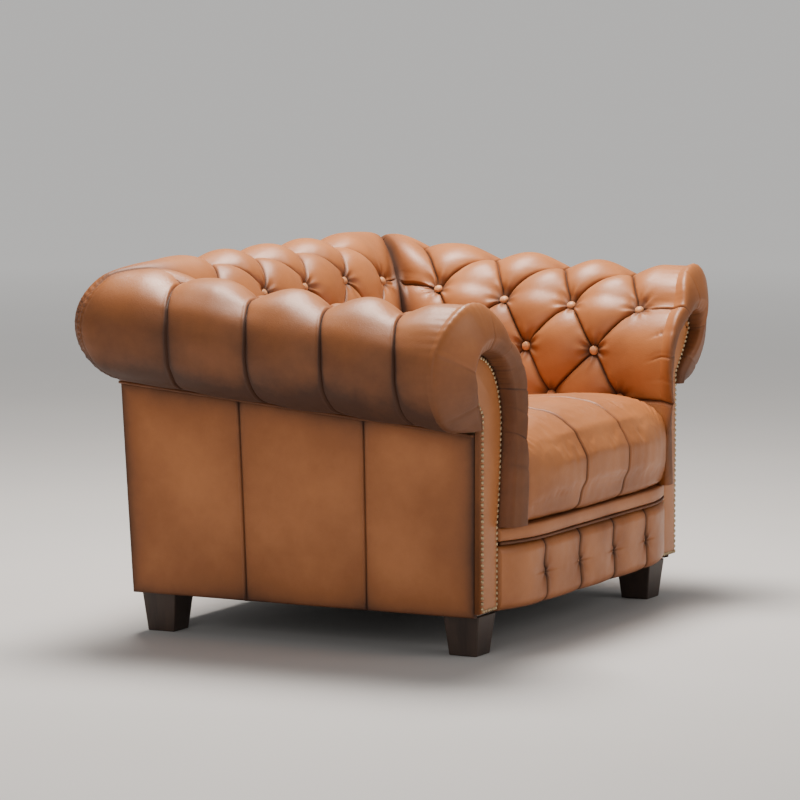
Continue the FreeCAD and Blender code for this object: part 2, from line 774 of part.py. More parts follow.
def rail_section(x, draw):
    """A section of the front rail, pinched at a button, full between two."""
    reach = rail_reach(x)
    low = (size.rail_round - reach + draw * PLEAT_SHARE, size.rail_low)
    high = (size.rail_round - reach + draw * PLEAT_SHARE, size.rail_high)
    middle = (draw - reach, size.rail_button_height)
    edges = [((size.front_wall - size.fit, size.rail_low), None), (low, swell(low, middle, RAIL_SHARE))]
    edges += [(middle, swell(middle, high, RAIL_SHARE)), (high, None)]
    edges.append(((size.front_wall - size.fit, size.rail_high), None))
    return outline(edges, lambda u, z: Vector(x, u, z))


rail_draws = (0, size.pleat_deep * PLEAT_SHARE, size.tuft_deep, size.pleat_deep * PLEAT_SHARE)
rail_stations = [rail_section(-size.rail_half, 0)]
for quarter in range(-RAIL_QUARTERS, RAIL_QUARTERS + 1):
    rail_stations.append(rail_section(quarter * size.rail_button_pitch / 4, rail_draws[quarter % 4]))
rail_stations.append(rail_section(size.rail_half, 0))
rail_seats = []
for column in RAIL_BUTTONS:
    x = column * size.rail_button_pitch
    rail_seats.append((Vector(x, size.tuft_deep - rail_reach(x), size.rail_button_height), Vector(0, -1, 0)))
rail_discs, rail_wells = button_set(rail_seats)
cut("rail_cover", solid("rail_full", Part.makeLoft(rail_stations, True, True), tool=True),
    [solid("rail_wells", rail_wells, tool=True)])
solid("rail_buttons", rail_discs)


def rail_path(inset, z):
    """The rail's line seen from above: straight in the middle, with an arc at each end."""
    points = []
    for x in (-size.rail_half, -(size.rail_half + size.rail_straight) / 2, -size.rail_straight):
        points.append(Vector(x, inset - rail_reach(x), z))
    left = [Vector(-point.x, point.y, point.z) for point in reversed(points)]
    straight = Part.LineSegment(points[-1], left[0])
    return [Part.Arc(*points).toShape(), straight.toShape(), Part.Arc(*left).toShape()]


piping_height = size.rail_high + size.fit + size.piping_radius
piping_path = Part.Wire(rail_path(size.piping_inset, piping_height))
piping_ring = Part.Wire(Part.makeCircle(size.piping_radius, piping_path.Edges[0].firstVertex().Point,
                                        piping_path.Edges[0].tangentAt(piping_path.Edges[0].FirstParameter)))
solid("rail_piping", piping_path.makePipeShell([piping_ring], True, False))
band_low = size.rail_high + 2 * size.fit + 2 * size.piping_radius
band_front = rail_path(size.piping_inset, band_low)
band_start = band_front[0].Vertexes[0].Point
band_end = band_front[-1].Vertexes[-1].Point
band_back = size.front_wall - size.fit
band_rear = Part.makePolygon([band_end, Vector(band_end.x, band_back, band_low),
                              Vector(band_start.x, band_back, band_low), band_start])
solid("deck_band", Part.Face(Part.Wire(band_front + band_rear.Edges)).extrude(
    Vector(0, 0, size.seat_base - size.fit - band_low)))

# Wooden frame

INNER = "(body_width / 2 - panel_thick - board_thick - fit)"
OUTER = "(body_width / 2 - panel_thick - fit)"
POST_BACK = "front_wall + fit + post_deep"
block("arm_post_left", (INNER, "front_wall + fit", "frame_low"),
      (OUTER, POST_BACK, "arm_rail_high + arm_rail_deep"))
block("back_post_left", (INNER, "back_post_place", "frame_low"),
      (OUTER, "back_post_place + back_post_deep", "back_rail_top"))
block("side_rail_left", (INNER, POST_BACK + " + fit", "frame_low"),
      (OUTER, "back_post_place - fit", "rail_top"))
block("tack_rail_left", (INNER, POST_BACK + " + fit", "rail_top + fit"),
      (OUTER, "back_post_place - fit", "seat_base + tack_rail_deep"))
block("arm_rail_left", (INNER, POST_BACK + " + fit", "arm_rail_high"),
      (OUTER, "back_post_place - fit", "arm_rail_high + arm_rail_deep"))
block("roll_board_left", (INNER, "front_wall + fit", "arm_rail_high + arm_rail_deep + 2 * fit"),
      ("arm_reach - roll_board_inset", "seat_depth + foot_wall - fit",
       "arm_rail_high + arm_rail_deep + 2 * fit + roll_board_thick"))
for name in ("arm_post", "back_post", "side_rail", "tack_rail", "arm_rail", "roll_board"):
    mirrored(name + "_right", doc.getObject(name + "_left"))
ACROSS_LOW = "fit - " + INNER
ACROSS_HIGH = INNER + " - fit"
block("front_rail", (ACROSS_LOW, "front_wall + fit", "frame_low"),
      (ACROSS_HIGH, "front_wall + fit + rail_thick", "rail_top"))
rear_rail_full = block("rear_rail_full", (ACROSS_LOW, "back_post_place", "frame_low"),
                       (ACROSS_HIGH, "back_post_place + back_post_deep", "rail_top"), tool=True)
block("back_top_rail", (ACROSS_LOW, "back_post_place", "back_rail_top - back_rail_deep"),
      (ACROSS_HIGH, "back_post_place + back_post_deep", "back_rail_top"))
block("back_tack_rail", (ACROSS_LOW, "back_post_place", "seat_base - tack_rail_deep"),
      (ACROSS_HIGH, "back_post_place + back_post_deep", "seat_base + tack_rail_deep"))

# Legs: square, tapered to the floor, each with a glide, a bolt, a plate and a corner block


def square_sketch(body, name, side, height):
    """A square centred on the body's axis, at a height above its base plane."""
    sketch = body.newObject("Sketcher::SketchObject", name)
    plane = next(part for part in body.Origin.OriginFeatures if part.Role == "XY_Plane")
    sketch.AttachmentSupport = [(plane, "")]
    sketch.MapMode = "FlatFace"
    sketch.setExpression("AttachmentOffset.Base.z", words(height))
    half = float(sheet.get(side)) / 2
    corners = [Vector(-half, -half, 0), Vector(half, -half, 0), Vector(half, half, 0), Vector(-half, half, 0)]
    for start, end in zip(corners, corners[1:] + corners[:1]):
        sketch.addGeometry(Part.LineSegment(start, end), False)
    for index in range(4):
        sketch.addConstraint(Sketcher.Constraint("Coincident", index, 2, (index + 1) % 4, 1))
    for index, kind in enumerate(("Horizontal", "Vertical", "Horizontal", "Vertical")):
        sketch.addConstraint(Sketcher.Constraint(kind, index))
    sketch.addConstraint(Sketcher.Constraint("Symmetric", 0, 1, 1, 2, -1, 1))
    for kind in ("DistanceX", "DistanceY"):
        edge = 0 if kind == "DistanceX" else 1
        number = sketch.addConstraint(Sketcher.Constraint(kind, edge, 1, edge, 2, 2 * half))
        sketch.setExpression("Constraints[%d]" % number, words(side))
    return sketch


def round_pocket(body, name, radius, height, deep, upward):
    """A round blind hole on the body's axis, cut up or down from a height."""
    sketch = body.newObject("Sketcher::SketchObject", name + "_sketch")
    plane = next(part for part in body.Origin.OriginFeatures if part.Role == "XY_Plane")
    sketch.AttachmentSupport = [(plane, "")]
    sketch.MapMode = "FlatFace"
    sketch.setExpression("AttachmentOffset.Base.z", words(height))
    sketch.addGeometry(Part.Circle(Vector(), Vector(0, 0, 1), size.bolt_radius), False)
    sketch.addConstraint(Sketcher.Constraint("Coincident", 0, 3, -1, 1))
    number = sketch.addConstraint(Sketcher.Constraint("Radius", 0, size.bolt_radius))
    sketch.setExpression("Constraints[%d]" % number, words(radius))
    pocket = body.newObject("PartDesign::Pocket", name)
    pocket.Profile = sketch
    pocket.Reversed = upward
    pocket.setExpression("Length", words(deep))
    return pocket


LEG_X = "(body_width / 2 - leg_side_inset - leg_foot / 2)"
LEG_FRONT_Y = "(leg_front_inset + leg_foot / 2)"
LEG_REAR_Y = "(body_depth - leg_rear_inset - leg_foot / 2)"


def leg(name, y):
    """A tapered wooden leg, with a pocket for its glide and a hole for its bolt."""
    body = doc.addObject("PartDesign::Body", name)
    foot = square_sketch(body, name + "_foot", "leg_foot", "0")
    head = square_sketch(body, name + "_head", "leg_head", "body_base")
    taper = body.newObject("PartDesign::AdditiveLoft", name + "_taper")
    taper.Profile = foot
    taper.Sections = [head]
    taper.Ruled = True
    doc.recompute()
    round_pocket(body, name + "_glide_pocket", "glide_radius + fit", "0", "glide_thick", True)
    round_pocket(body, name + "_bolt_hole", "bolt_radius + fit", "body_base", "bolt_sunk + fit", False)
    body.setExpression("Placement.Base.x", words(LEG_X))
    body.setExpression("Placement.Base.y", words(y + " + " + TO_MIDDLE))
    return keep(body, name)


for place, y in (("front", LEG_FRONT_Y), ("rear", LEG_REAR_Y)):
    mirrored("leg_%s_right" % place, leg("leg_%s_left" % place, y))


def cylinder(name, radius, height, x, y, z):
    """An upright round bar, its sizes and place given as expressions."""
    bar = doc.addObject("Part::Cylinder", name)
    for prop, text in (("Radius", radius), ("Height", height), ("Placement.Base.x", x),
                       ("Placement.Base.y", y), ("Placement.Base.z", z)):
        bar.setExpression(prop, words(text))
    return bar


def at_legs(make):
    """One piece at each of the four legs, made by a function of name, side and place along the chair."""
    pieces = []
    for side in (1, -1):
        for place, y in (("front", LEG_FRONT_Y), ("rear", LEG_REAR_Y)):
            ending = "%s_%s" % (place, "left" if side > 0 else "right")
            pieces.append(make(ending, "(%d * %s)" % (side, LEG_X), y))
    return pieces


def square_maker(name, reach, low, high):
    """Makes a square plate or block centred over a leg."""
    def make(ending, x, y):
        return block(name + "_" + ending, ("%s - (%s)" % (x, reach), "%s - (%s)" % (y, reach), low),
                     ("%s + %s" % (x, reach), "%s + %s" % (y, reach), high), tool=True)
    return make


def round_maker(name, radius, height, low):
    """Makes an upright round bar on a leg's axis."""
    def make(ending, x, y):
        return cylinder(name + "_" + ending, radius, height, x, y, low)
    return make


group("leg_bolts", at_legs(
    round_maker("bolt", "bolt_radius", "bolt_sunk + bolt_reach", "body_base - bolt_sunk")))
group("leg_glides", at_legs(round_maker("glide", "glide_radius", "glide_thick - fit", "0")))
bolt_rooms = group("bolt_rooms", at_legs(
    round_maker("bolt_room", "bolt_radius + fit", "body_base", "body_base")), tool=True)
plates = group("plates_full", at_legs(
    square_maker("plate", "plate_size / 2", "body_base", "body_base + plate_thick")), tool=True)
cut("leg_plates", plates, [bolt_rooms])
frame_rooms = [block("room_" + name, low, high, tool=True) for name, low, high in (
    ("left", (INNER + " - fit", "0", "0"), ("body_width", "body_depth", "seat_base")),
    ("front", ("-body_width", "-overrun", "0"),
     ("body_width", "front_wall + 2 * fit + rail_thick", "seat_base")),
    ("rear", ("-body_width", "back_post_place - fit", "0"), ("body_width", "rear_reach", "seat_base")))]
frame_rooms.append(mirrored("room_right", frame_rooms[0], tool=True))
cut("rear_rail", rear_rail_full, [bolt_rooms])
blocks = group("blocks_full", at_legs(
    square_maker("block", "block_size / 2 + leg_side_inset / 2", "body_base + plate_thick + fit",
                 "body_base + plate_thick + block_high")), tool=True)
cut("corner_blocks", blocks, frame_rooms + [bolt_rooms])

# Seat suspension: sinuous springs on the rails, a cloth, a pad and the deck's cover, with a dust cover below


def spring_path(x, low, high, z):
    """A flat wire path that runs from side to side and steps back along the seat by half turns."""
    count = int((high - low) / (2 * size.spring_loop))
    radius = (high - low) / (2 * count)
    edges = []
    for step in range(count + 1):
        side = 1 if step % 2 == 0 else -1
        y = low + 2 * radius * step
        start = Vector(x - side * size.spring_run, y, z)
        end = Vector(x + side * size.spring_run, y, z)
        edges.append(Part.LineSegment(start, end).toShape())
        if step < count:
            turn = Vector(end.x + side * radius, y + radius, z)
            edges.append(Part.Arc(end, turn, Vector(end.x, y + 2 * radius, z)).toShape())
    return Part.Wire(edges)


spring_low = size.front_wall + size.rail_thick / 2
spring_high = size.back_post_place + size.rail_thick / 2
spring_height = size.rail_top + size.clip_thick + size.fit + size.spring_wire
springs = []
clips = []
for index in range(int(size.spring_count)):
    x = (index - (size.spring_count - 1) / 2) * size.spring_pitch
    path = spring_path(x, spring_low, spring_high, spring_height)
    ring = Part.Wire(Part.makeCircle(size.spring_wire, path.Vertexes[0].Point, Vector(1, 0, 0)))
    springs.append(path.makePipeShell([ring], True, False))
    slot = 2 * (size.spring_wire + size.fit)
    for y in (spring_low, spring_high):
        corner = Vector(x - size.clip_width / 2, y - size.clip_deep / 2, size.rail_top)
        clip = Part.makeBox(size.clip_width, size.clip_deep, slot + 2 * size.clip_thick, corner)
        inner = corner + Vector(0, size.clip_thick, size.clip_thick)
        room = Part.makeBox(size.clip_width, size.clip_deep, slot, inner)
        clips.append(clip.cut(room))
solid("seat_springs", Part.makeCompound(springs))
solid("spring_clips", Part.makeCompound(clips))
INSULATOR = "rail_top + 2 * clip_thick + 2 * spring_wire + 3 * fit"
DECK_TOP = "seat_base - fit"
block("spring_insulator", (ACROSS_LOW, "front_wall + fit", INSULATOR),
      (ACROSS_HIGH, "back_post_place - fit", INSULATOR + " + cloth_thick"))
block("deck_pad", (ACROSS_LOW, "front_wall + fit", INSULATOR + " + cloth_thick + fit"),
      (ACROSS_HIGH, hollow_front, DECK_TOP + " - deck_cover_thick - fit"))
block("deck_cover", (ACROSS_LOW, "front_wall + fit", DECK_TOP + " - deck_cover_thick"),
      (ACROSS_HIGH, hollow_front, DECK_TOP))
dust_full = block("dust_full", ("fit - " + OUTER, "front_wall + fit", "body_base + fit"),
                  (OUTER + " - fit", "body_depth - panel_thick - fit", "body_base + fit + cloth_thick"),
                  tool=True)
leg_rooms = group("leg_rooms", at_legs(
    square_maker("leg_room", "leg_head / 2 + fit", "0", "seat_base")), tool=True)
cut("dust_cover", dust_full, [leg_rooms])
STRAPS_ACROSS = 3
STRAP_COLUMNS = (-1.5, -0.5, 0.5, 1.5)
straps = []
for index in range(STRAPS_ACROSS):
    low = "(seat_base + tack_rail_deep + fit + %d * (webbing_width + webbing_gap))" % index
    straps.append(block("strap_%d" % index, ("fit - " + OUTER, "back_post_place - fit - webbing_thick", low),
                        (OUTER + " - fit", "back_post_place - fit", low + " + webbing_width"), tool=True))
for index, column in enumerate(STRAP_COLUMNS):
    middle = "(%s * back_pitch)" % column
    straps.append(block("upright_strap_%d" % index,
                        (middle + " - webbing_width / 2", "back_post_place - 2 * fit - 2 * webbing_thick",
                         "seat_base + tack_rail_deep / 2"),
                        (middle + " + webbing_width / 2", "back_post_place - 2 * fit - webbing_thick",
                         "back_rail_top - fit"), tool=True))
group("back_webbing", straps)

# Loose seat cushion: a foam core in a leather cover with two channels, closed by a zip at the rear

CUSHION_FRONT_SHARE = 0.06
CUSHION_EDGE_SHARE = 0.2
CUSHION_SHARES = ((1, 1), (0.985, 0.45), (0.95, 0.12), (0.85, 0))
CHANNEL_SHARE = 0.17


def cushion_section(x, end, channel, inset):
    """A section of the cushion from front to rear: crowned top, swelling front, flat underside."""
    front = -size.front_reach + size.cushion_round / 2 + end + channel + inset
    low = size.seat_base + inset
    edge = size.cushion_edge - end - channel - inset
    rear = size.cushion_rear - inset - end / 4
    lip = (front + size.cushion_lip, edge)
    nose = (front, edge - size.cushion_round)
    chin = (front, low + size.cushion_round / 2)
    heel = (rear, edge - size.cushion_round)
    crown = (size.cushion_crown - end / 2) / (rear - lip[0])
    brow = (rear - size.cushion_round, edge)
    edges = [(chin, swell(chin, nose, CUSHION_FRONT_SHARE)), (nose, swell(nose, lip, CUSHION_EDGE_SHARE))]
    edges += [(lip, swell(lip, brow, crown)), (brow, swell(brow, heel, CUSHION_EDGE_SHARE))]
    edges += [(heel, None), ((rear, low), None), ((front + size.cushion_round / 2, low), None)]
    return outline(edges, lambda u, z: Vector(x, u, z))


def cushion_body(inset, channelled):
    """The cushion from one side to the other, with its drawn-in ends and its sewn channels."""
    half = size.cushion_half - inset
    sections = [(half * share, size.cushion_round * end, 0) for share, end in CUSHION_SHARES]
    seam = size.cushion_seam
    near = seam * CHANNEL_SHARE
    if channelled:
        sections += [(seam + 2 * near, 0, 0), (seam + near, 0, size.cushion_channel * PLEAT_SHARE),
                     (seam, 0, size.cushion_channel), (seam - near, 0, size.cushion_channel * PLEAT_SHARE),
                     (seam - 2 * near, 0, 0)]
    sections.append((0, 0, 0))
    sections += [(-x, end, channel) for x, end, channel in reversed(sections[:-1])]
    return Part.makeLoft([cushion_section(*section, inset) for section in sections], True, True)


cushion_full = solid("cushion_full", cushion_body(0, True), tool=True)
cushion_room = solid("cushion_room", cushion_body(size.cushion_wall, False), tool=True)
cut("cushion_cover", cushion_full, [cushion_room])
solid("cushion_core", cushion_body(size.cushion_wall + size.fit, False))
block("zip_tape", ("-zip_half", "cushion_rear + fit", "zip_height"),
      ("zip_half", "cushion_rear + fit + cloth_thick", "zip_height + zip_width"))
SLIDER_FACE = "cushion_rear + 2 * fit + cloth_thick"
SLIDER_LOW = "zip_height + (zip_width - slider_high) / 2"
block("zip_slider", ("-zip_half", SLIDER_FACE, SLIDER_LOW),
      ("slider_long - zip_half", SLIDER_FACE + " + slider_thick", SLIDER_LOW + " + slider_high"))

doc.recompute()
faults = [feature.Label for feature in doc.Objects if {"Invalid", "Error"} & set(feature.State)]
faults += [feature.Label for feature in subparts if feature.Shape.isNull() or not feature.Shape.isValid()]
if faults:
    raise RuntimeError("failed objects: " + ", ".join(faults))
os.makedirs("parts", exist_ok=True)
for feature in subparts:
    feature.Shape.exportStep("parts/%s.step" % feature.Label)
print(len(subparts), "sub-parts written")
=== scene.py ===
import math
import bmesh
import bpy
import numpy as np
from mathutils import Matrix, Vector


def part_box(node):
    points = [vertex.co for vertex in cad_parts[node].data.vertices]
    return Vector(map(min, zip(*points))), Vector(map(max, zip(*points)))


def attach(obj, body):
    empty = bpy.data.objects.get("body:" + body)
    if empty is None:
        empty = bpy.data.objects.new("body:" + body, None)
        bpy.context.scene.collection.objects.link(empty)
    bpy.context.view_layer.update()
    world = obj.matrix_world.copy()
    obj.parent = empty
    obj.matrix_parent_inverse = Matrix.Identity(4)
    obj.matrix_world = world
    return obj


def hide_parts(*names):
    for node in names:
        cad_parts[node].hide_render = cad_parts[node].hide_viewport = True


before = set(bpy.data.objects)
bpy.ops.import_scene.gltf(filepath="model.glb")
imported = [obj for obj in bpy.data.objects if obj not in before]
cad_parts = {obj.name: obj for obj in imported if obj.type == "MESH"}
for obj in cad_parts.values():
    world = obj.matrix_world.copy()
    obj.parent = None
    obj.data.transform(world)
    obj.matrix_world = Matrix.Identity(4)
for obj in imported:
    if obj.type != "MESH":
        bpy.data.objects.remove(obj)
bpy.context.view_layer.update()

# Camera
# The photograph looks at the chair from its right front and a little from above, through a long lens. Its place, turn
# and lens were worked out from the edges of the box body.

VIEW_PLACE = (-7.73583628, -3.92283383, 1.36939889)
VIEW_TURN = math.radians(-63.034)
VIEW_DROP = math.radians(6.197)
view_back = Vector((math.sin(VIEW_TURN) * math.cos(VIEW_DROP), -math.cos(VIEW_TURN) * math.cos(VIEW_DROP),
                    math.sin(VIEW_DROP)))
view_right = Vector((math.cos(VIEW_TURN), math.sin(VIEW_TURN), 0))
view_up = view_back.cross(view_right)
camera = bpy.data.objects.new("camera", bpy.data.cameras.new("camera"))
camera.data.lens = 196.95
camera.data.sensor_width = 36
camera.data.sensor_fit = "HORIZONTAL"
camera.data.clip_end = 100
view_axes = Matrix((view_right, view_up, view_back)).transposed().to_4x4()
camera.matrix_world = Matrix.Translation(VIEW_PLACE) @ view_axes
bpy.context.scene.collection.objects.link(camera)
bpy.context.scene.camera = camera

# Floor and light
# A pale matt floor that runs out of the frame and brightens far away. The warm main lamp hangs over the seat, and two
# broader, weaker ones fill in from the front and from the side that the camera sees.


class Wire:
    """What comes out of a node; sums on it add Math nodes."""

    def __init__(self, tree, socket=None):
        self.tree = tree
        self.socket = socket

    def node(self, kind, settings, sockets, output=0):
        """A new node: its settings or ramp stops first, then the values or links of its sockets."""
        node = self.tree.nodes.new(kind)
        for name, value in settings.items():
            if name == "stops":
                while len(node.color_ramp.elements) < len(value):
                    node.color_ramp.elements.new(1)
                for element, (place, colour) in zip(node.color_ramp.elements, value):
                    element.position = place
                    element.color = (*colour, 1)
            else:
                setattr(node, name, value)
        for name, value in sockets.items():
            if isinstance(value, Wire):
                self.tree.links.new(value.socket, node.inputs[name])
            else:
                node.inputs[name].default_value = value
        return Wire(self.tree, node.outputs[output])

    def noise(self, scale, detail=2.0, **more):
        """Cloudy noise laid out on these coordinates."""
        return self.node("ShaderNodeTexNoise", {}, {"Vector": self, "Scale": scale, "Detail": detail, **more})

    def between(self, first, second):
        """The colour that this share mixes from two others."""
        return self.node("ShaderNodeMix", {"data_type": "RGBA"}, {0: self, 6: (*first, 1), 7: (*second, 1)}, 2)

    def relief(self, strength, distance):
        """The way the surface faces when it has this height."""
        return self.node("ShaderNodeBump", {}, {"Height": self, "Strength": strength, "Distance": distance})

    def feed(self, shader, socket):
        self.tree.links.new(self.socket, shader.inputs[socket])

    def sum(self, operation, first, second):
        return self.node("ShaderNodeMath", {"operation": operation}, {0: first, 1: second})

    def __add__(self, other):
        return self.sum("ADD", self, other)

    def __radd__(self, other):
        return self.sum("ADD", other, self)

    def __sub__(self, other):
        return self.sum("SUBTRACT", self, other)

    def __rsub__(self, other):
        return self.sum("SUBTRACT", other, self)

    def __mul__(self, other):
        return self.sum("MULTIPLY", self, other)

    def __rmul__(self, other):
        return self.sum("MULTIPLY", other, self)


def finish_of(name):
    """An empty material, its closing shader, and the object's own coordinates to lay its patterns out on."""
    material = bpy.data.materials.new(name)
    material.use_nodes = True
    shader = material.node_tree.nodes["Principled BSDF"]
    return material, shader, Wire(material.node_tree).node("ShaderNodeTexCoord", {}, {}, "Object")


def placed(name, mesh, *finishes):
    """An object that sits at the origin with its place in its mesh."""
    for finish in finishes:
        mesh.materials.append(finish)
    piece = bpy.data.objects.new(name, mesh)
    bpy.context.scene.collection.objects.link(piece)
    return piece


# half the floor's width, and the distances between which its own faint light rises to its most
FLOOR_REACH = 500
GLOW_FROM = 1.5
GLOW_FULL = 9.0
GLOW_MOST = 0.42


def pale_floor():
    material, shader, place = finish_of("pale_floor")
    place.noise(1.3, 3.0).between((0.60, 0.59, 0.58), (0.66, 0.65, 0.64)).feed(shader, "Base Color")
    reach = place.node("ShaderNodeVectorMath", {"operation": "LENGTH"}, {0: place}, "Value")
    bright = place.node("ShaderNodeMapRange", {}, {"Value": reach, "From Min": GLOW_FROM, "From Max": GLOW_FULL,
                                                   "To Min": 0.0, "To Max": GLOW_MOST})
    bright.between((0, 0, 0), (1.0, 0.99, 0.97)).feed(shader, "Emission Color")
    shader.inputs["Emission Strength"].default_value = 1.0
    shader.inputs["Roughness"].default_value = 0.7
    return material


floor_mesh = bpy.data.meshes.new("floor")
floor_mesh.from_pydata([(FLOOR_REACH * x, FLOOR_REACH * y, 0) for x, y in ((-1, -1), (1, -1), (1, 1), (-1, 1))], [],
                       [(0, 1, 2, 3)])
floor = placed("floor", floor_mesh, pale_floor())


def lamp(name, place, aim, breadth, power, colour):
    """A square soft lamp that faces a point."""
    data = bpy.data.lights.new(name, "AREA")
    data.size = breadth
    data.energy = power
    data.color = colour
    light = bpy.data.objects.new(name, data)
    facing = (Vector(place) - Vector(aim)).to_track_quat("Z", "Y").to_matrix().to_4x4()
    light.matrix_world = Matrix.Translation(place) @ facing
    bpy.context.scene.collection.objects.link(light)


lamp("key_lamp", (0.5, 0.4, 3.3), (0, 0, 0.45), 1.5, 235, (1.0, 0.93, 0.86))
lamp("front_lamp", (0.6, -4.2, 1.9), (0, 0, 0.35), 2.0, 33, (1.0, 0.97, 0.94))
lamp("side_lamp", (-4.6, -0.6, 1.5), (0, 0, 0.30), 2.6, 50, (1.0, 0.97, 0.94))
world = bpy.data.worlds.new("studio")
bpy.context.scene.world = world
world.use_nodes = True
studio = world.node_tree.nodes["Background"].inputs
studio["Color"].default_value = (1.0, 0.98, 0.96, 1)
studio["Strength"].default_value = 0.24

# Wooden frame
# Planed hardwood posts, rails, blocks and roll boards, glued and screwed together. The covers close all of it in.


def dress(material, *nodes):
    """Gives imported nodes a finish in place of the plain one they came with."""
    for node in nodes:
        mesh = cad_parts[node].data
        mesh.materials.clear()
        mesh.materials.append(material)


def both(*names):
    """The left and the right node of each name."""
    return [name + side for name in names for side in ("_left", "_right")]


def wood(name, pale, dark, grain, gloss):
    """Straight-grained wood: rings stretched along Z, with fine pores."""
    material, shader, place = finish_of(name)
    long = place.node("ShaderNodeMapping", {}, {"Vector": place, "Scale": (grain, grain, grain * 0.07)})
    figure = long.noise(1.0, 6.0, Distortion=0.6) * 0.75 + long.noise(7.0) * 0.25
    colour = place.node("ShaderNodeValToRGB", {"stops": [(0.3, dark), (0.7, pale)]}, {"Fac": figure})
    colour.feed(shader, "Base Color")
    (gloss + figure * 0.2).feed(shader, "Roughness")
    figure.relief(0.25, 0.0004).feed(shader, "Normal")
    return material


frame_wood = wood("frame_wood", (0.50, 0.34, 0.19), (0.34, 0.21, 0.11), 60, 0.55)
dress(frame_wood, *both("arm_post", "back_post", "side_rail", "tack_rail", "arm_rail", "roll_board"),
      "front_rail", "rear_rail", "back_top_rail", "back_tack_rail", "corner_blocks")

# Springs, plates and bolts
# Sinuous springs of steel wire, held in clips on the front and rear seat rails, and the steel plates and bolts that
# hold the legs.


def metal(name, colour, rough, wear):
    """Metal with dull clouds in its shine."""
    material, shader, place = finish_of(name)
    cloud = place.noise(160.0, 4.0)
    cloud.between([part * wear for part in colour], colour).feed(shader, "Base Color")
    (rough + cloud * 0.25).feed(shader, "Roughness")
    shader.inputs["Metallic"].default_value = 1.0
    return material


dress(metal("steel", (0.55, 0.55, 0.56), 0.3, 0.7), "seat_springs", "spring_clips", "leg_bolts", "leg_plates")

# Fillings and inner cloths
# Foam under the covers, a pad and black platform cloth over the springs, jute webbing in the back, and a black dust
# cover tacked on below.


def woven(name, colour, thread, shade):
    """Plain weave: two sets of threads that pass over and under each other."""
    material, shader, place = finish_of(name)
    across, along = (place.node("ShaderNodeTexWave", {"wave_profile": "SIN", "bands_direction": way},
                                {"Vector": place, "Scale": thread, "Distortion": 0.4}) for way in "XY")
    weave = across * along
    weave.between([part * shade for part in colour], colour).feed(shader, "Base Color")
    weave.relief(0.5, 0.0004).feed(shader, "Normal")
    shader.inputs["Roughness"].default_value = 0.92
    return material


dress(woven("foam", (0.80, 0.74, 0.55), 120, 0.92), *both("arm_foam"), "back_foam", "cushion_core", "deck_pad")
dress(woven("black_cloth", (0.03, 0.028, 0.028), 260, 0.5), "dust_cover", "spring_insulator", "deck_cover")
dress(woven("webbing", (0.50, 0.40, 0.26), 90, 0.6), "back_webbing")

# Legs
# Short square hardwood legs, tapered to the floor and stained dark brown. Each is bolted to its plate and stands on a
# black plastic glide.

LEG_FOOT_HALF = 0.029
LEG_HEAD_HALF = 0.0375
LEG_HIGH = 0.078
LEG_EASE = 0.0025
leg_wood = wood("leg_wood", (0.060, 0.034, 0.023), (0.026, 0.015, 0.011), 45, 0.36)
for leg_name in both("leg_front", "leg_rear"):
    low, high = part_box(leg_name)
    middle = (low + high) / 2
    planed = bmesh.new()
    corners = []
    for z, half in ((0.0, LEG_FOOT_HALF), (LEG_HIGH, LEG_HEAD_HALF)):
        corners.append([planed.verts.new((middle.x + half * sx, middle.y + half * sy, z))
                        for sx, sy in ((-1, -1), (1, -1), (1, 1), (-1, 1))])
    planed.faces.new(corners[0][::-1])
    planed.faces.new(corners[1])
    for index in range(4):
        following = (index + 1) % 4
        planed.faces.new((corners[0][index], corners[0][following], corners[1][following], corners[1][index]))
    bmesh.ops.bevel(planed, geom=planed.edges[:], offset=LEG_EASE, segments=3, profile=0.5, affect="EDGES")
    leg_mesh = bpy.data.meshes.new(leg_name + "_turned")
    planed.to_mesh(leg_mesh)
    planed.free()
    leg = placed(leg_name + "_turned", leg_mesh, leg_wood)
    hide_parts(leg_name)
    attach(leg, "chair")

glide_plastic, glide_shader, glide_place = finish_of("glide_plastic")
(0.5 + glide_place.noise(300.0) * 0.2).feed(glide_shader, "Roughness")
glide_shader.inputs["Base Color"].default_value = (0.012, 0.011, 0.011, 1)
dress(glide_plastic, "leg_glides")

# Leather
# Full-grain hide, hand-burnished, with a fine pebbled grain and a soft wax shine. Its colour is painted lighter on the
# crowns of the pillows, as a painted highlight, and darker in the folds and along the seams, as painted shade.


def leather(name, light, middle, dark, shine):
    """The hide's finish; the burnish attribute holds its painted shade and highlight, and uneven tone."""
    material, shader, place = finish_of(name)
    # painted shade and highlight: high in folds, pits and under the rolls, low on the crowns
    burnish = place.node("ShaderNodeAttribute", {"attribute_name": "burnish"}, {}, "Fac")
    cloud = place.noise(7.0, 4.0, Roughness=0.55)
    streak = place.noise(32.0, 5.0, Roughness=0.65)
    speck = place.noise(900.0)
    tone = burnish + (cloud - 0.5) * 0.42 + (streak - 0.5) * 0.20 + (speck - 0.5) * 0.10
    colour = place.node("ShaderNodeValToRGB", {"stops": [(0.0, light), (0.34, middle), (1.0, dark)]}, {"Fac": tone})
    colour.feed(shader, "Base Color")
    pebble = place.node("ShaderNodeTexVoronoi", {"feature": "SMOOTH_F1"},
                        {"Vector": place, "Scale": 620.0, "Smoothness": 0.6}, "Distance")
    crinkle = place.noise(120.0, 4.0, Roughness=0.6, Distortion=0.8)
    grain = pebble * 0.5 + place.noise(1500.0) * 0.2 + crinkle * 0.9
    grain.relief(0.55, 0.0005).feed(shader, "Normal")
    (shine + (streak - 0.5) * 0.16 + burnish * 0.38).feed(shader, "Roughness")
    shader.inputs["Specular IOR Level"].default_value = 0.36
    shader.inputs["Coat Weight"].default_value = 0.08
    shader.inputs["Coat Roughness"].default_value = 0.42
    return material


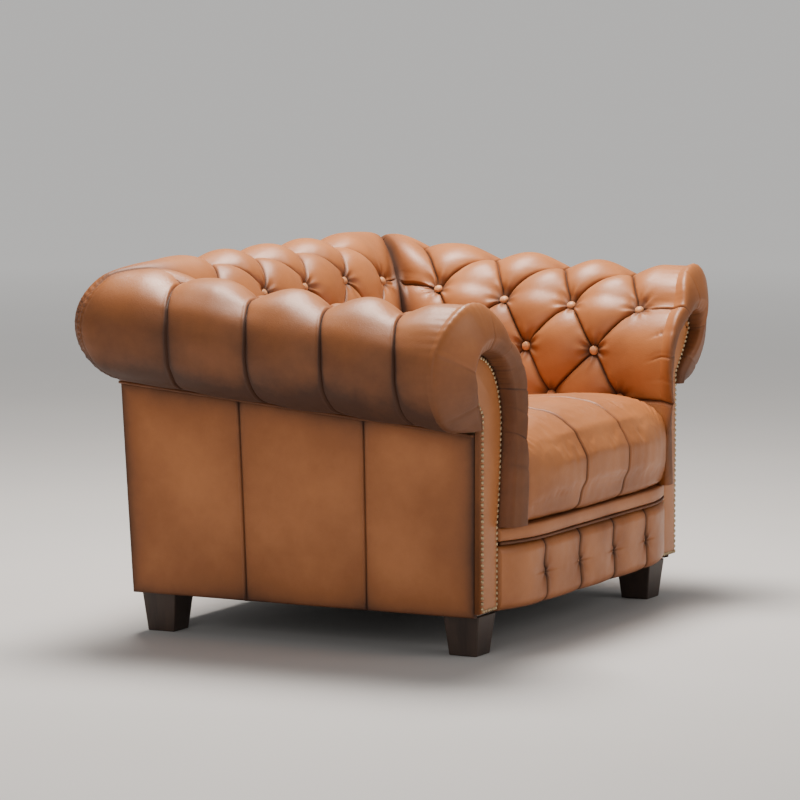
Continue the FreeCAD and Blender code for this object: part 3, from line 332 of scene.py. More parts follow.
HIDE_SHINE = 0.36
# the hide's colour on the crowns as a painted highlight, in between, and in the deepest painted shade
HIDE_LIGHT = (0.470, 0.172, 0.055)
HIDE_MIDDLE = (0.310, 0.102, 0.028)
HIDE_DARK = (0.060, 0.023, 0.011)
hide = leather("hide_with_painted_shade", HIDE_LIGHT, HIDE_MIDDLE, HIDE_DARK, HIDE_SHINE)


def sewn_mesh(name, patches, material, towards=None, lids=()):
    """One mesh of grids of points, joined where their edges meet; each grid brings its painted shade and tone. Lids are
    flat faces.
    """
    points = []
    marks = []
    faces = []
    count = 0
    for grid, burnish in patches:
        rows, columns = grid.shape[:2]
        points.append(grid.reshape(-1, 3))
        marks.append(np.broadcast_to(burnish, (rows, columns)).reshape(-1))
        index = count + np.arange(rows * columns).reshape(rows, columns)
        faces.append(np.stack([index[:-1, :-1], index[1:, :-1], index[1:, 1:], index[:-1, 1:]], -1).reshape(-1, 4))
        count += rows * columns
    faces = np.concatenate(faces).tolist()
    for lid, burnish in lids:
        points.append(lid)
        marks.append(np.full(len(lid), burnish))
        faces.append(list(range(count, count + len(lid))))
        count += len(lid)
    mesh = bpy.data.meshes.new(name)
    mesh.from_pydata(np.concatenate(points).tolist(), [], faces)
    mesh.attributes.new("burnish", "FLOAT", "POINT").data.foreach_set("value", np.concatenate(marks).astype(np.float32))
    joined = bmesh.new()
    joined.from_mesh(mesh)
    bmesh.ops.remove_doubles(joined, verts=joined.verts, dist=0.00002)
    bmesh.ops.dissolve_degenerate(joined, edges=joined.edges, dist=0.000001)
    bmesh.ops.recalc_face_normals(joined, faces=joined.faces)
    joined.faces.ensure_lookup_table()
    if towards is not None:
        nearest = min(joined.faces, key=lambda face: (face.calc_center_median() - Vector(towards)).length_squared)
        if nearest.normal.dot(Vector(towards) - nearest.calc_center_median()) < 0:
            bmesh.ops.reverse_faces(joined, faces=joined.faces)
    joined.to_mesh(mesh)
    joined.free()
    mesh.shade_smooth()
    return placed(name, mesh, material)


def steps_between(count, close=0.8):
    """Shares from one crease to the next, closer together beside both."""
    share = np.linspace(0, 1, count + 1)
    return share - close * np.sin(2 * np.pi * share) / (2 * np.pi)


def eased(value, low, high):
    """A smooth rise from 0 at low to 1 at high."""
    share = np.clip((value - low) / (high - low), 0, 1)
    return share * share * (3 - 2 * share)


def fade(distance, width):
    """1 at no distance, falling steeply at first over a width."""
    return np.exp(-distance / width)


def hump(distance, width):
    """1 at no distance, round at the top, with soft feet a width away."""
    return np.exp(-(distance / width) ** 2)


def ripples(a, b, length, seed):
    """Smooth uneven waves between about -1 and 1, about one length long."""
    chance = np.random.default_rng(seed)
    total = 0
    for _ in range(7):
        turn, start = chance.uniform(0, 2 * np.pi, 2)
        wave = length * chance.uniform(0.7, 1.7)
        total = total + np.sin((a * np.cos(turn) + b * np.sin(turn)) * 2 * np.pi / wave + start)
    return total / 3.5


# Rolled arms
# Leather over foam, drawn in by buttons in three staggered rows; pleats run in diamonds between the buttons and
# straight over the roll, and the front edge is gathered around the facing.

# the front of the box body; from there back, and from the middle out: the seat, the rolls, the sides, the corners
FRONT = -0.3885
SEAT_HALF = 0.345
SEAT_DEPTH = 0.555
ARM_REACH = 0.632
REAR_REACH = 0.815
SIDE_LINE = 0.447
SIDE_LENGTH = 0.777
CORNER_ROUND = 0.09
STAGES = range(7)


class Section:
    """The outline of a tufted cover through the tops of its pillows, from the seat over the roll to its underside.

    Its stages are seven shares of that way: the seat, button rows one to three, the crest, the outermost place and
    the underside.
    """

    def __init__(self, face, roll, radii, start, end, row_heights):
        turns = np.radians(np.linspace(start, end, 60))
        over = np.stack([roll[0] + radii[0] * np.cos(turns), roll[1] + radii[1] * np.sin(turns)], -1)
        outline = np.concatenate([np.array(face), over])
        while len(outline) < 400:
            halves = (outline[:-1] + outline[1:]) / 2
            inner = (halves[:-1] + halves[1:]) / 2
            rounder = np.empty((len(halves) + len(inner), 2))
            rounder[0::2] = halves
            rounder[1::2] = inner
            outline = np.concatenate([outline[:1], rounder, outline[-1:]])
        lengths = np.concatenate([[0], np.cumsum(np.hypot(*np.diff(outline, axis=0).T))])
        self.length = lengths[-1]
        self.share = lengths / lengths[-1]
        self.across, self.height = outline.T
        top = int(np.argmax(self.height))
        self.crest = self.share[top]
        self.rows = [float(np.interp(height, self.height[:top], self.share[:top])) for height in row_heights]
        self.outermost = self.share[int(np.argmax(self.across))]
        self.levels = [*self.rows, float(self.crest)]
        self.stages = [0, *self.levels, self.outermost, 1]


ARM_FACE = [(0.345, 0.243), (0.345, 0.300), (0.345, 0.360), (0.346, 0.410), (0.349, 0.455), (0.355, 0.500),
            (0.365, 0.540), (0.379, 0.572), (0.396, 0.597)]
arm_line = Section(ARM_FACE, (0.515, 0.548), (0.117, 0.116), 150, -90, (0.412, 0.508, 0.602))
ARM_PITCH = 0.153
ARM_FIRST = 0.066
ARM_COLUMNS = 4
ARM_DEEP = 0.0160

# how far the arm's crest and its underside rise towards the back, and what share of it each height has
CREST_RISE = 0.058
CREST_CURVE = 1.5
SIDE_RISE = 0.067
CREST_HEIGHTS = [0.243, 0.412, 0.508, 0.602, 0.664]
CREST_SHARES = [0.0, 0.0, 0.275, 0.55, 1.0]
ROLL_FOOT = 0.432
ROLL_HIGH = 0.232

# how much further back a pleat lies at each stage than at its highest button, and how much more of it the last has
PLEAT_LEAN = [0.024, 0.020, 0.006, 0.0, -0.016, -0.0475, -0.0455]
LAST_LEAN = [0.0, 0.0, 0.0, 0.0, 0.021, 0.022, 0.030]


def staged(share, line, values):
    """A value that runs smoothly from stage to stage of a section."""
    stage = np.interp(share, line.stages, STAGES)
    whole = np.clip(np.floor(stage), 0, STAGES[-2]).astype(int)
    part = eased(stage - whole, 0, 1)
    values = np.array(values)
    return values[whole] * (1 - part) + values[whole + 1] * part


def arm_slant(column, share):
    """How much further back a pleat lies on its way over the roll; the last one leans the most."""
    last = np.clip((column - 0.5) / 3, 0, 1) ** 3
    return staged(share, arm_line, PLEAT_LEAN) + last * staged(share, arm_line, LAST_LEAN)


def arm_point(column, share):
    """A point of the left arm's smooth outline, by its place in pitches along the arm and its share of the section."""
    y = ARM_FIRST + column * ARM_PITCH + arm_slant(column, share)
    across = np.interp(share, arm_line.share, arm_line.across)
    height = np.interp(share, arm_line.share, arm_line.height)
    outer_share = np.clip((height - ROLL_FOOT) / ROLL_HIGH, 0, 1)
    past = share > arm_line.crest
    crest_share = np.where(past, outer_share, np.interp(height, CREST_HEIGHTS, CREST_SHARES))
    foot_share = np.where(past, 1 - outer_share, 0)
    rise = crest_share * CREST_RISE * (np.clip(y, 0, None) / REAR_REACH) ** CREST_CURVE
    return np.stack([across, y, height + rise + foot_share * SIDE_RISE * y / SIDE_LENGTH], -1)


def mitre_gap(point):
    """How far a point lies in front of the upright plane where arm and back meet."""
    run = np.array([ARM_REACH - SEAT_HALF, REAR_REACH - SEAT_DEPTH])
    side = np.array([run[1], -run[0]]) / np.hypot(*run)
    return (point[..., 0] - SEAT_HALF) * side[0] + (point[..., 1] - SEAT_DEPTH) * side[1]


def end_column(line_point, share, guess, step):
    """The column at which a section's line reaches the mitre plane."""
    column = np.full_like(share, guess)
    for _ in range(8):
        here = mitre_gap(line_point(column, share))
        slope = (mitre_gap(line_point(column + step, share)) - here) / step
        column = column - here / slope
    return column


# heights of the leather's small forms, each with its distance and its width or length: the cut of a pleat and the lip
# beside it, the pit of a button and the puckers round it, the rucks along the pleats, the slack, the crest
PLEAT_CUT, PLEAT_CUT_WIDE = 0.0024, 0.0015
PLEAT_LIP, PLEAT_LIP_OFF, PLEAT_LIP_WIDE = 0.0004, 0.0042, 0.0030
BUTTON_PIT, BUTTON_PIT_WIDE = 0.0085, 0.017
PUCKER, PUCKER_OFF, PUCKER_WIDE, PUCKER_COUNT = 0.0021, 0.023, 0.013, 8
RUCK, RUCK_LONG, RUCK_WIDE = 0.0006, 0.024, 0.018
SLACK, SLACK_LONG = 0.0011, 0.085
CREST_FULL, CREST_SPREAD, CREST_SPREAD_OUT = 0.0090, 0.12, 0.085
PILLOW_POWER = 0.44
# the pleats' depth as a share of the cover's, from the seat over rows one and three and the crest to the underside
PLEAT_DEEP = [0.15, 0.5, 1.05, 1.10, 1.25, 0.50, 0.28]
# the column of the last dip on the crest, and a distance beyond any pleat or button
LAST_DIP = 3.5
FAR_AWAY = 9.0


class Tufting:
    """The diamond pleats and buttons of one cover, in pitches along it and rows up it.

    Row 0 is the lowest row of buttons, row 2 the highest; row 3 are the dips on the crest, half a pitch aside, from
    which straight pleats run over the outer side of the roll. Along and steps say which way the cover runs and how
    many points its diamonds, its roll, its foot and its ends have.
    """

    def __init__(self, line, line_point, mitre, along, pitch, columns, face_deep, folds, seed, steps):
        self.line = line
        self.line_point = line_point
        self.mitre = mitre
        self.along = along
        self.pitch = pitch
        self.last = columns - 1
        self.face_deep = face_deep
        self.folds = folds
        self.seed = seed
        diamond, roll, foot, end = steps
        self.crease = steps_between(diamond)
        self.triple = np.concatenate([self.crease, 1 + self.crease[1:], 2 + self.crease[1:]])
        self.rise = np.linspace(0, 1, roll + 1) ** 1.15
        self.fall = np.linspace(0, 1, foot + 1) ** 1.15
        self.ends = steps_between(end, 0.6)

    def level(self, row):
        return np.interp(row, [0, 1, 2, 3], self.line.levels)

    def row_of(self, share):
        """The row at a share of the section; below row 0 and above row 3 it counts pitches."""
        levels = self.line.levels
        row = np.interp(share, levels, [0, 1, 2, 3])
        row = np.where(share < levels[0], (share - levels[0]) * self.line.length / self.pitch, row)
        return np.where(share > levels[3], 3 + (share - levels[3]) * self.line.length / self.pitch, row)

    def nearest_dip(self, column):
        return np.clip(np.floor(column), 0, LAST_DIP - 0.5) + 0.5

    def button_reach(self, column, share):
        """Distance to the nearest button or dip, the direction from it, and whether it is a button."""
        best = np.full(np.shape(column + share), FAR_AWAY)
        turn = np.zeros_like(best)
        button = np.ones_like(best)
        for row, share_at in enumerate(self.line.levels):
            shift = 0.5 if row % 2 else 0.0
            top = LAST_DIP if row == 3 else self.last - shift
            nearest = np.clip(np.round(column - shift), 0, top - shift) + shift
            along = (column - nearest) * self.pitch
            up = (share - share_at) * self.line.length
            reach = np.hypot(along, up)
            closer = reach < best
            best = np.where(closer, reach, best)
            turn = np.where(closer, np.arctan2(up, along) + nearest * 2.4 + row, turn)
            button = np.where(closer, 0.0 if row == 3 else 1.0, button)
        return best, turn, button

    def pillows(self, column, row):
        """How full the pillows are at a place, how far the nearest pleat is, and how firmly it is drawn in."""
        levels = self.line.levels
        row_in = np.clip(row, 0, 3)
        inner = np.clip(column, 0, self.last)
        past = np.abs(column - inner)
        below = np.clip(-row, 0, None)
        gap = np.where(row > 2, levels[3] - levels[2], (levels[2] - levels[0]) / 2) * self.line.length
        spread = self.pitch * gap / np.hypot(self.pitch / 2, gap)
        rise = inner + row_in / 2
        fall = inner - row_in / 2
        # behind the last button an arm's cover has one more dip, with a full pillow on to the mitre
        tail = (LAST_DIP > self.last) & (column > self.last) & (row > 2)
        rise = np.where(tail, np.minimum(column + row_in / 2, self.last + 1.5), rise)
        fall = np.where(tail, np.minimum(column - row_in / 2, self.last - 0.5), fall)
        fullness = np.abs(np.sin(np.pi * rise) * np.sin(np.pi * fall))
        ramp = np.sin(np.pi / 2 * np.clip((row - 2) / 0.5, 0, 1))
        fullness = np.where(tail, fullness * (1 + np.clip((column - self.last) / 0.15, 0, 1) * (ramp - 1)), fullness)
        strip = np.sin(np.pi * np.minimum(past, 0.5)) ** 2 * np.sin(np.pi / 2 * np.minimum(below / 0.7, 1)) ** 2
        fullness = np.where((past > 0) & (below > 0), strip, fullness)
        rising = spread * np.abs(rise - np.round(rise))
        falling = spread * np.abs(fall - np.round(fall))
        level_off = np.abs(row_in - 2) * gap
        low_off = np.where(row < 1, row_in * gap, FAR_AWAY)
        rising = np.where(past > 0, np.minimum(level_off, low_off), rising)
        falling = np.where((past > 0) & ~tail, rising, falling)
        pleat = np.minimum(rising, falling)
        pleat = np.where(row > 3, self.pitch * np.abs(column - self.nearest_dip(column)), pleat)
        pleat = np.where(row < 0, self.pitch * np.abs(column - np.round(inner)), pleat)
        pleat = np.where((row < 0) & (past > 0), self.pitch * np.minimum(past, below), pleat)
        fading = 1 - 0.85 * eased(row, 2.50, 2.80)
        firm = np.where((rising < falling) & (row > 2) & (row < 3), fading, 1.0)
        return fullness, pleat, firm

    def relief(self, column, share):
        """How deep the leather lies under its smooth outline, and how dark it is painted there: painted shade and
        uneven tone.
        """
        levels, crest, outermost = self.line.levels, self.line.crest, self.line.outermost
        row = self.row_of(share)
        over = eased(row, 2.95, 3.5)
        fullness, pleat, firm = self.pillows(column, row)
        reach, turn, button = self.button_reach(column, share)
        places = [0, levels[0] * 0.7, levels[0], levels[2], crest, crest + 0.30 * (1 - crest), 1]
        deep = np.interp(share, places, np.array(PLEAT_DEEP) * self.face_deep)
        depth = deep * (1 - fullness ** (PILLOW_POWER - 0.10 * over))
        depth -= CREST_FULL * fullness * hump(share - crest, np.where(share > crest, CREST_SPREAD_OUT, CREST_SPREAD))
        depth += BUTTON_PIT * np.exp(-(reach / BUTTON_PIT_WIDE) ** 1.4) * (0.25 + 0.75 * button)
        depth += (PLEAT_CUT + 0.0004 * over) * firm * fade(pleat, PLEAT_CUT_WIDE)
        side = np.where(row > 3, column - self.nearest_dip(column), 1.0)
        lip = (PLEAT_LIP + 0.0010 * over) * np.where(side > 0, 1, 0) * firm
        depth -= lip * hump(pleat - PLEAT_LIP_OFF, PLEAT_LIP_WIDE)
        along = column * self.pitch
        upward = share * self.line.length
        depth += PUCKER * np.sin(turn * PUCKER_COUNT) * hump(reach - PUCKER_OFF, PUCKER_WIDE) * button
        depth += RUCK * ripples(along, upward, RUCK_LONG, self.seed) * fade(pleat, RUCK_WIDE) * (1 - 0.6 * over)
        depth += SLACK * ripples(along, upward, SLACK_LONG, self.seed + 1)
        # painted shade in the pleats, round buttons and dips, and down the roll's outer side and underside; then uneven
        # tone
        burnish = (0.85 * fade(pleat, 0.0024) + 0.16 * fade(pleat, 0.010)) * firm
        around = 0.95 * hump(reach, BUTTON_PIT_WIDE) + 0.30 * fade(reach, 0.035)
        burnish = np.maximum(burnish, around * (0.35 + 0.65 * button))
        outer = eased(share, crest + 0.03, outermost)
        burnish += 0.03 + 0.66 * outer + 0.20 * eased(share, outermost, 0.95)
        burnish += (0.10 - 0.04 * outer) * ripples(along, upward, 0.16, self.seed + 2)
        return depth, burnish

    def outward(self, column, share):
        """The direction that the smooth outline faces."""
        tiny = 1e-4
        along = self.line_point(column + tiny, share) - self.line_point(column - tiny, share)
        up = self.line_point(column, np.minimum(share + tiny, 1)) - self.line_point(column, np.maximum(share - tiny, 0))
        outward = np.cross(up, along) * (1 if self.along == 1 else -1)
        return outward / np.linalg.norm(outward, axis=-1, keepdims=True)

    def button_places(self):
        """Column and share of every button."""
        places = [(column, self.line.rows[row]) for row in (0, 2) for column in range(self.last + 1)]
        places += [(column + 0.5, self.line.rows[1]) for column in range(self.last)]
        return np.array(places, dtype=float).T

    def surface(self, column, share):
        """Points of the leather, drawn in along the outline's own direction, and their painted shade and tone."""
        point = self.line_point(column, share)
        depth, burnish = self.relief(column, share)
        more, fold_shade, keep = self.folds(point, share, self.seed)
        depth = depth * keep + more
        return point - self.outward(column, share) * depth[..., None], np.maximum(burnish, fold_shade)

    def grids(self, low_end, high_end):
        """Column and share of every grid: each one ends on the pleats around it."""
        double = np.concatenate([self.crease / 2, 0.5 + self.crease[1:] / 2])
        grids = []
        left, right = np.meshgrid(self.crease, self.crease, indexing="ij")
        for column in range(1, self.last):
            grids.append((column + (left - right) / 2, self.level(left + right)))
        for column in range(self.last):
            grids.append((column + 0.5 + (left - right) / 2, self.level(1 + left + right)))
        for column in range(round(LAST_DIP - 0.5)):
            across, up = np.meshgrid(double, self.rise, indexing="ij")
            start = self.level(2 + np.abs(2 * across - 1))
            grids.append((column + 0.5 + across, start + (1 - start) * up))
        for column in range(self.last):
            across, down = np.meshgrid(double, self.fall, indexing="ij")
            start = self.level(1 - np.abs(2 * across - 1))
            grids.append((column + across, start * (1 - down)))
        for column, sign, end in ((0, 1, low_end), (self.last, -1, high_end)):
            rows, out = np.meshgrid(self.triple, self.ends, indexing="ij")
            share = self.level(rows)
            beside = sign if LAST_DIP < self.last or sign > 0 else -sign
            inner = column + np.where(rows > 2, beside * (rows - 2) / 2, sign * 0.5 * (1 - np.abs(rows - 1)))
            grids.append((inner + (end(share) - inner) * out, share))
            for steps_up, share_from, share_to, start in ((self.rise, self.line.levels[3], 1, column + beside * 0.5),
                                                          (self.fall, self.line.levels[0], 0, column)):
                up, out = np.meshgrid(steps_up, self.ends, indexing="ij")
                share = share_from + (share_to - share_from) * up
                grids.append((start + (end(share) - start) * out, share))
        return grids


# the arm's front border, stage by stage: where the leather turns over to the front, how far its bend stands forward and
# outward there, how far forward its ridge lies and at what share of the way to the facing, how soon its painted shade
# reaches full darkness, and how much the roll swells towards the seat behind it
LIP_START = [-0.014, -0.014, -0.014, -0.010, 0.006, 0.026, 0.026]
LIP_SWELL = [0.022, 0.023, 0.023, 0.024, 0.024, 0.020, 0.016]
LIP_FULL = [0.010, 0.013, 0.014, 0.015, 0.009, 0.003, 0.002]
LIP_RIDGE = [-0.038, -0.039, -0.040, -0.046, -0.043, -0.029, -0.010]
LIP_RIDGE_PLACE = [0.50, 0.50, 0.50, 0.52, 0.68, 0.88, 0.70]
LIP_SHADE_WIDTH = [0.35, 0.35, 0.35, 0.60, 1.0, 1.0, 1.0]
LIP_INWARD = [0.013, 0.013, 0.012, 0.006, 0.0, 0.0, 0.0]


def arm_low_end(share):
    """The column at which the arm's leather turns over to the front."""
    return (staged(share, arm_line, LIP_START) - ARM_FIRST - arm_slant(0.0, share)) / ARM_PITCH


edge_shares = np.linspace(0, 1, 400)
arm_ends = end_column(arm_point, edge_shares, 4.0, 0.01)


def arm_high_end(share):
    return np.interp(share, edge_shares, arm_ends)


# the back's outline, which the arms meet in the mitre
BACK_FACE = [(0.555, 0.243), (0.555, 0.300), (0.555, 0.360), (0.556, 0.420), (0.558, 0.470), (0.564, 0.530),
             (0.572, 0.580), (0.583, 0.625), (0.593, 0.650)]
back_line = Section(BACK_FACE, (0.700, 0.607), (0.115, 0.115), 152, -55, (0.462, 0.560, 0.655))
BACK_PITCH = 0.170
BACK_COLUMNS = 5
BACK_DEEP = 0.0165
BACK_SEED = 83


def back_point(column, share):
    """A point of the back's smooth outline; columns run from the chair's right to its left."""
    x = (column - (BACK_COLUMNS - 1) / 2) * BACK_PITCH
    y = np.interp(share, back_line.share, back_line.across)
    z = np.interp(share, back_line.share, back_line.height)
    return np.stack([x + 0 * share, y + 0 * column, z + 0 * column], -1)


back_ends = end_column(back_point, edge_shares, 5.0, 0.01)


def back_high_end(share):
    return np.interp(share, edge_shares, back_ends)


def back_low_end(share):
    return (BACK_COLUMNS - 1) - back_high_end(share)


# the seam between arm and back lies halfway between the lines in which their own outlines reach the mitre plane
mitre_stages = np.linspace(0, STAGES[-1], 400)


def own_mitre(line, line_point, high_end):
    """The line in which a cover's own outline reaches the mitre plane, by stage."""
    shares = np.interp(mitre_stages, STAGES, line.stages)
    return line_point(high_end(shares), shares)


arm_mitre = own_mitre(arm_line, arm_point, arm_high_end)
back_mitre = own_mitre(back_line, back_point, back_high_end)
shared_mitre = (arm_mitre + back_mitre) / 2
MITRE_SLOPE = (REAR_REACH - SEAT_DEPTH) / (ARM_REACH - SEAT_HALF)
# how far from the mitre a cover starts to be drawn to the seam, and how near it slides along it; the stage from which
# the outer corner is rounded, and the round from which the leather's relief turns fully with it
MITRE_BLEND = 0.15
MITRE_SLIDE = 0.03
CREST_STAGE = 4
FULL_SWING = 0.02


def meet_in_corner(point, smooth, share, tufts):
    """Draws the end of a cover to the line where arm and back meet, and round the outer corner on its way."""
    point = point.copy()
    along = tufts.along
    across = 1 - along
    slope = MITRE_SLOPE if along == 1 else 1 / MITRE_SLOPE
    away = np.abs(mitre_gap(smooth))
    point[..., along] += (point[..., across] - smooth[..., across]) * slope * fade(away, MITRE_SLIDE)
    stage = np.interp(share, tufts.line.stages, STAGES)
    shift = np.stack([np.interp(stage, mitre_stages, (shared_mitre - tufts.mitre)[:, axis]) for axis in range(3)], -1)
    shift *= (1 - eased(away, 0, MITRE_BLEND))[..., None]
    met = point + shift
    plain = smooth + shift
    corner = [np.interp(stage, mitre_stages, shared_mitre[:, axis]) for axis in range(2)]
    turn = np.clip(corner[0] - (ARM_REACH - CORNER_ROUND), 0, CORNER_ROUND)
    turn = np.maximum(turn * eased(stage, CREST_STAGE, CREST_STAGE + 0.4), 1e-5)
    past = np.clip(plain[..., along] - (corner[along] - turn), 0, turn)
    angle = past / turn * math.pi / 4
    swing = angle * np.clip(turn / FULL_SWING, 0, 1)
    out = met[..., across] - plain[..., across]
    forward = met[..., along] - plain[..., along]
    turned = met.copy()
    turned[..., across] = plain[..., across] - turn + turn * np.cos(angle) + out * np.cos(swing)
    turned[..., along] = np.where(past > 0, corner[along] - turn + turn * np.sin(angle) + out * np.sin(swing)
                                  + forward * (1 - swing / (math.pi / 4)), met[..., along])
    return turned


def left_of(point):
    """The same points on the chair's left, where the mitre is worked out."""
    flipped = point.copy()
    flipped[..., 0] = np.abs(flipped[..., 0])
    return flipped


def into_corner(point, smooth, share, tufts):
    """Meets in the corner on either side of the chair."""
    side = np.where(point[..., 0] < 0, -1.0, 1.0)
    turned = meet_in_corner(left_of(point), left_of(smooth), share, tufts)
    turned[..., 0] *= side
    return turned


def laid(tufts, column, share):
    """Points of the leather as it lies on the chair, led into the corner, and their painted shade and tone."""
    point, burnish = tufts.surface(column, share)
    return into_corner(point, tufts.line_point(column, share), share, tufts), burnish


# depth and pitch of the gathers beside the mitre, and how far from it the fold that ends them lies
RUCHE = 0.0046
RUCHE_PITCH = 0.0125
PIPE_OFF = 0.024


def mitre_relief(smooth, share, line, seed):
    """The fold along the mitre, gathered over the outer side of the roll, its painted shade, and how much of the pleats
    is kept there.
    """
    away = np.abs(mitre_gap(smooth))
    outer = eased(share, line.crest + 0.02, line.crest + 0.22)
    fold = (0.011 - 0.009 * outer) * fade(away, 0.010) + (0.007 - 0.006 * outer) * fade(away, 0.035)
    upward = share * line.length
    ruche = RUCHE * (0.5 + 0.5 * np.sin(upward * 2 * np.pi / RUCHE_PITCH + 1.5 * np.sin(upward * 90 + seed)))
    fold += ruche * outer * hump(away - 0.009, 0.011) * eased(away, 0.0, 0.005)
    fold += 0.0035 * outer * hump(away - PIPE_OFF, 0.0022)
    # painted shade along the mitre's fold, fading over the roll's outer side, and beside the fold that ends the gathers
    fold_shade = (0.95 * fade(away, 0.012) + 0.25 * fade(away, 0.03)) * (1 - 0.85 * outer)
    fold_shade = np.maximum(fold_shade, outer * 0.8 * hump(away - PIPE_OFF, 0.003))
    return fold, fold_shade, eased(away, 0.0, 0.012 + 0.016 * outer)


# height, slope and depth of each small tuck in the front border, then how high the ridge beside it is and how far off
BORDER_TUCKS = ((0.350, 0.0, 0.0026), (0.500, -0.35, 0.0024), (0.548, -0.45, 0.0028), (0.455, -0.1, 0.0018))
TUCK_RIDGE, TUCK_RIDGE_OFF = 0.0008, 0.006
tuck_shares = [float(np.interp(height, arm_line.height[:200], arm_line.share[:200])) for height, _, _ in BORDER_TUCKS]


def border_tucks(share, behind):
    """Short tucks that run back from the front border."""
    depth = 0
    ending = 1 - eased(behind, 0.005, 0.045)
    for at, (_, slope, deep) in zip(tuck_shares, BORDER_TUCKS):
        off = (share - at) * arm_line.length - slope * behind
        depth = depth + deep * hump(off, 0.0022) * ending
        depth = depth + TUCK_RIDGE * hump(off - TUCK_RIDGE_OFF, TUCK_RIDGE_OFF) * ending
    return depth


def arm_folds(point, share, seed):
    """What the mitre, the tucks and the gathers at the front border add to an arm's relief."""
    fold, fold_shade, keep = mitre_relief(point, share, arm_line, seed)
    behind = point[..., 1] - staged(share, arm_line, LIP_START)
    tucks = border_tucks(share, behind)
    gathers = 0.0004 * np.sin(share * arm_line.length * 2 * np.pi / 0.017 + seed) * fade(behind, 0.022)
    gathers = gathers * eased(share, arm_line.rows[2], arm_line.rows[2] + 0.05)
    swell = staged(share, arm_line, LIP_INWARD) * (1 - eased(behind, 0.0, 0.10))
    # the tucks' cuts are painted darker as painted shade
    return fold + tucks + gathers - swell, np.maximum(fold_shade, np.clip((tucks - 0.0014) * 300, 0, 0.8)), keep


def back_folds(point, share, seed):
    return mitre_relief(left_of(point), share, back_line, seed)


# matching places of the section and of the facing's edge, which the front border joins
FACING_EDGE = [(0.385, 0.243), (0.369, 0.400), (0.368, 0.440), (0.373, 0.475), (0.387, 0.515), (0.410, 0.548),
               (0.440, 0.569), (0.470, 0.579), (0.497, 0.581), (0.517, 0.573), (0.524, 0.556), (0.523, 0.540),
               (0.507, 0.513), (0.481, 0.486), (0.462, 0.463), (0.457, 0.436)]
EDGE_SHARES = [0.0, 0.165, 0.215, 0.25, 0.31, 0.37, 0.43, 0.48, 0.56, 0.64, 0.70, 0.76, 0.84, 0.92, 0.97, 1.0]


def cut_corners(keys, times):
    """Rounds a row of points by cutting its corners again and again; its two ends stay."""
    for _ in range(times):
        rounder = np.empty((2 * len(keys), *keys.shape[1:]))
        rounder[0], rounder[-1] = keys[0], keys[-1]
        rounder[1:-1:2] = 0.75 * keys[:-1] + 0.25 * keys[1:]
        rounder[2:-1:2] = 0.25 * keys[:-1] + 0.75 * keys[1:]
        keys = rounder
    return keys


# shares of the section at which soft folds cross the border, with their depths; the pitch and depth of its gathers;
# how far behind the front plane the facing's edge holds it
BORDER_FOLDS = ((0.40, 0.002), (0.53, 0.003), (0.74, 0.004), (0.91, 0.003))
GATHER_PITCH = 0.0105
GATHER_DEEP = 0.0013
FACING_EDGE_LINE = 0.003


def lengths_along(points):
    """How far along a row of points each of them lies."""
    return np.concatenate([[0], np.cumsum(np.linalg.norm(np.diff(points, axis=0), axis=-1))])


def front_border(tufts):
    """The border that the leather makes around the facing, gathered at the facing's head."""
    low, crest = arm_line.levels[0], arm_line.levels[3]
    share = np.concatenate([(low * (1 - tufts.fall))[::-1], tufts.level(tufts.triple)[1:],
                            (crest + (1 - crest) * tufts.rise)[1:]])
    start, burnish = tufts.surface(arm_low_end(share), share)
    edge = np.array(FACING_EDGE)
    end = np.stack([np.interp(share, EDGE_SHARES, edge[:, 0]), np.full_like(share, FACING_EDGE_LINE),
                    np.interp(share, EDGE_SHARES, edge[:, 1])], -1)
    forward = np.stack([0 * share, -staged(share, arm_line, LIP_SWELL), 0 * share], -1)
    outward = start - end
    wide = np.linalg.norm(outward, axis=-1)
    outward /= np.maximum(wide, 1e-6)[:, None]
    full = outward * staged(share, arm_line, LIP_FULL)[:, None]
    place = staged(share, arm_line, LIP_RIDGE_PLACE)[:, None]
    ridge = start * (1 - place) + end * place + full * 0.5
    ridge[:, 1] = staged(share, arm_line, LIP_RIDGE)
    inside = end * 0.85 + ridge * 0.15
    inside[:, 1] = end[:, 1] * 0.25 + ridge[:, 1] * 0.75
    grid = cut_corners(np.stack([start, start + forward + full, ridge, ridge * 0.5 + inside * 0.5, inside, end]), 3)
    across = np.linspace(0, 1, len(grid))[:, None]
    arch = np.sin(np.pi * across)
    head = eased(share, 0.24, 0.33) * (1 - 0.4 * eased(share, 0.90, 0.98))
    length = lengths_along(end)
    waves = 0.5 + 0.5 * np.sin(length * 2 * np.pi / GATHER_PITCH + 1.3 * np.sin(length * 70 + tufts.seed))
    gather = GATHER_DEEP * head * waves * eased(across, 0.45, 0.9) * (1 - 0.5 * eased(across, 0.93, 1.0))
    folds = 0
    for at, deep in BORDER_FOLDS:
        off = np.abs((share - at) * arm_line.length)
        folds = folds + deep * fade(off, 0.0035) * eased(wide, 0.05, 0.09) * arch ** 0.6
    depth = gather + folds + 0.6 * border_tucks(share, np.zeros_like(share)) * arch ** 0.5
    grid[..., 1] += depth
    # painted shade over the border, darker in its gathers and tucks and towards the facing's edge
    fold_shade = 0.72 + np.clip((depth - 0.0008) * 250, 0, 0.30) + 0.3 * eased(across, 0.85, 1.0)
    fold_shade = fold_shade * eased(across, 0.0, staged(share, arm_line, LIP_SHADE_WIDTH))
    return grid, np.maximum(burnish * (1 - 0.3 * across), fold_shade)


def into_row(grid, side):
    """From the sizes measured behind the front plane to the chair's own frame; side -1 mirrors to the right."""
    row = grid.copy()
    row[..., 1] += FRONT
    row[..., 0] *= side
    return row


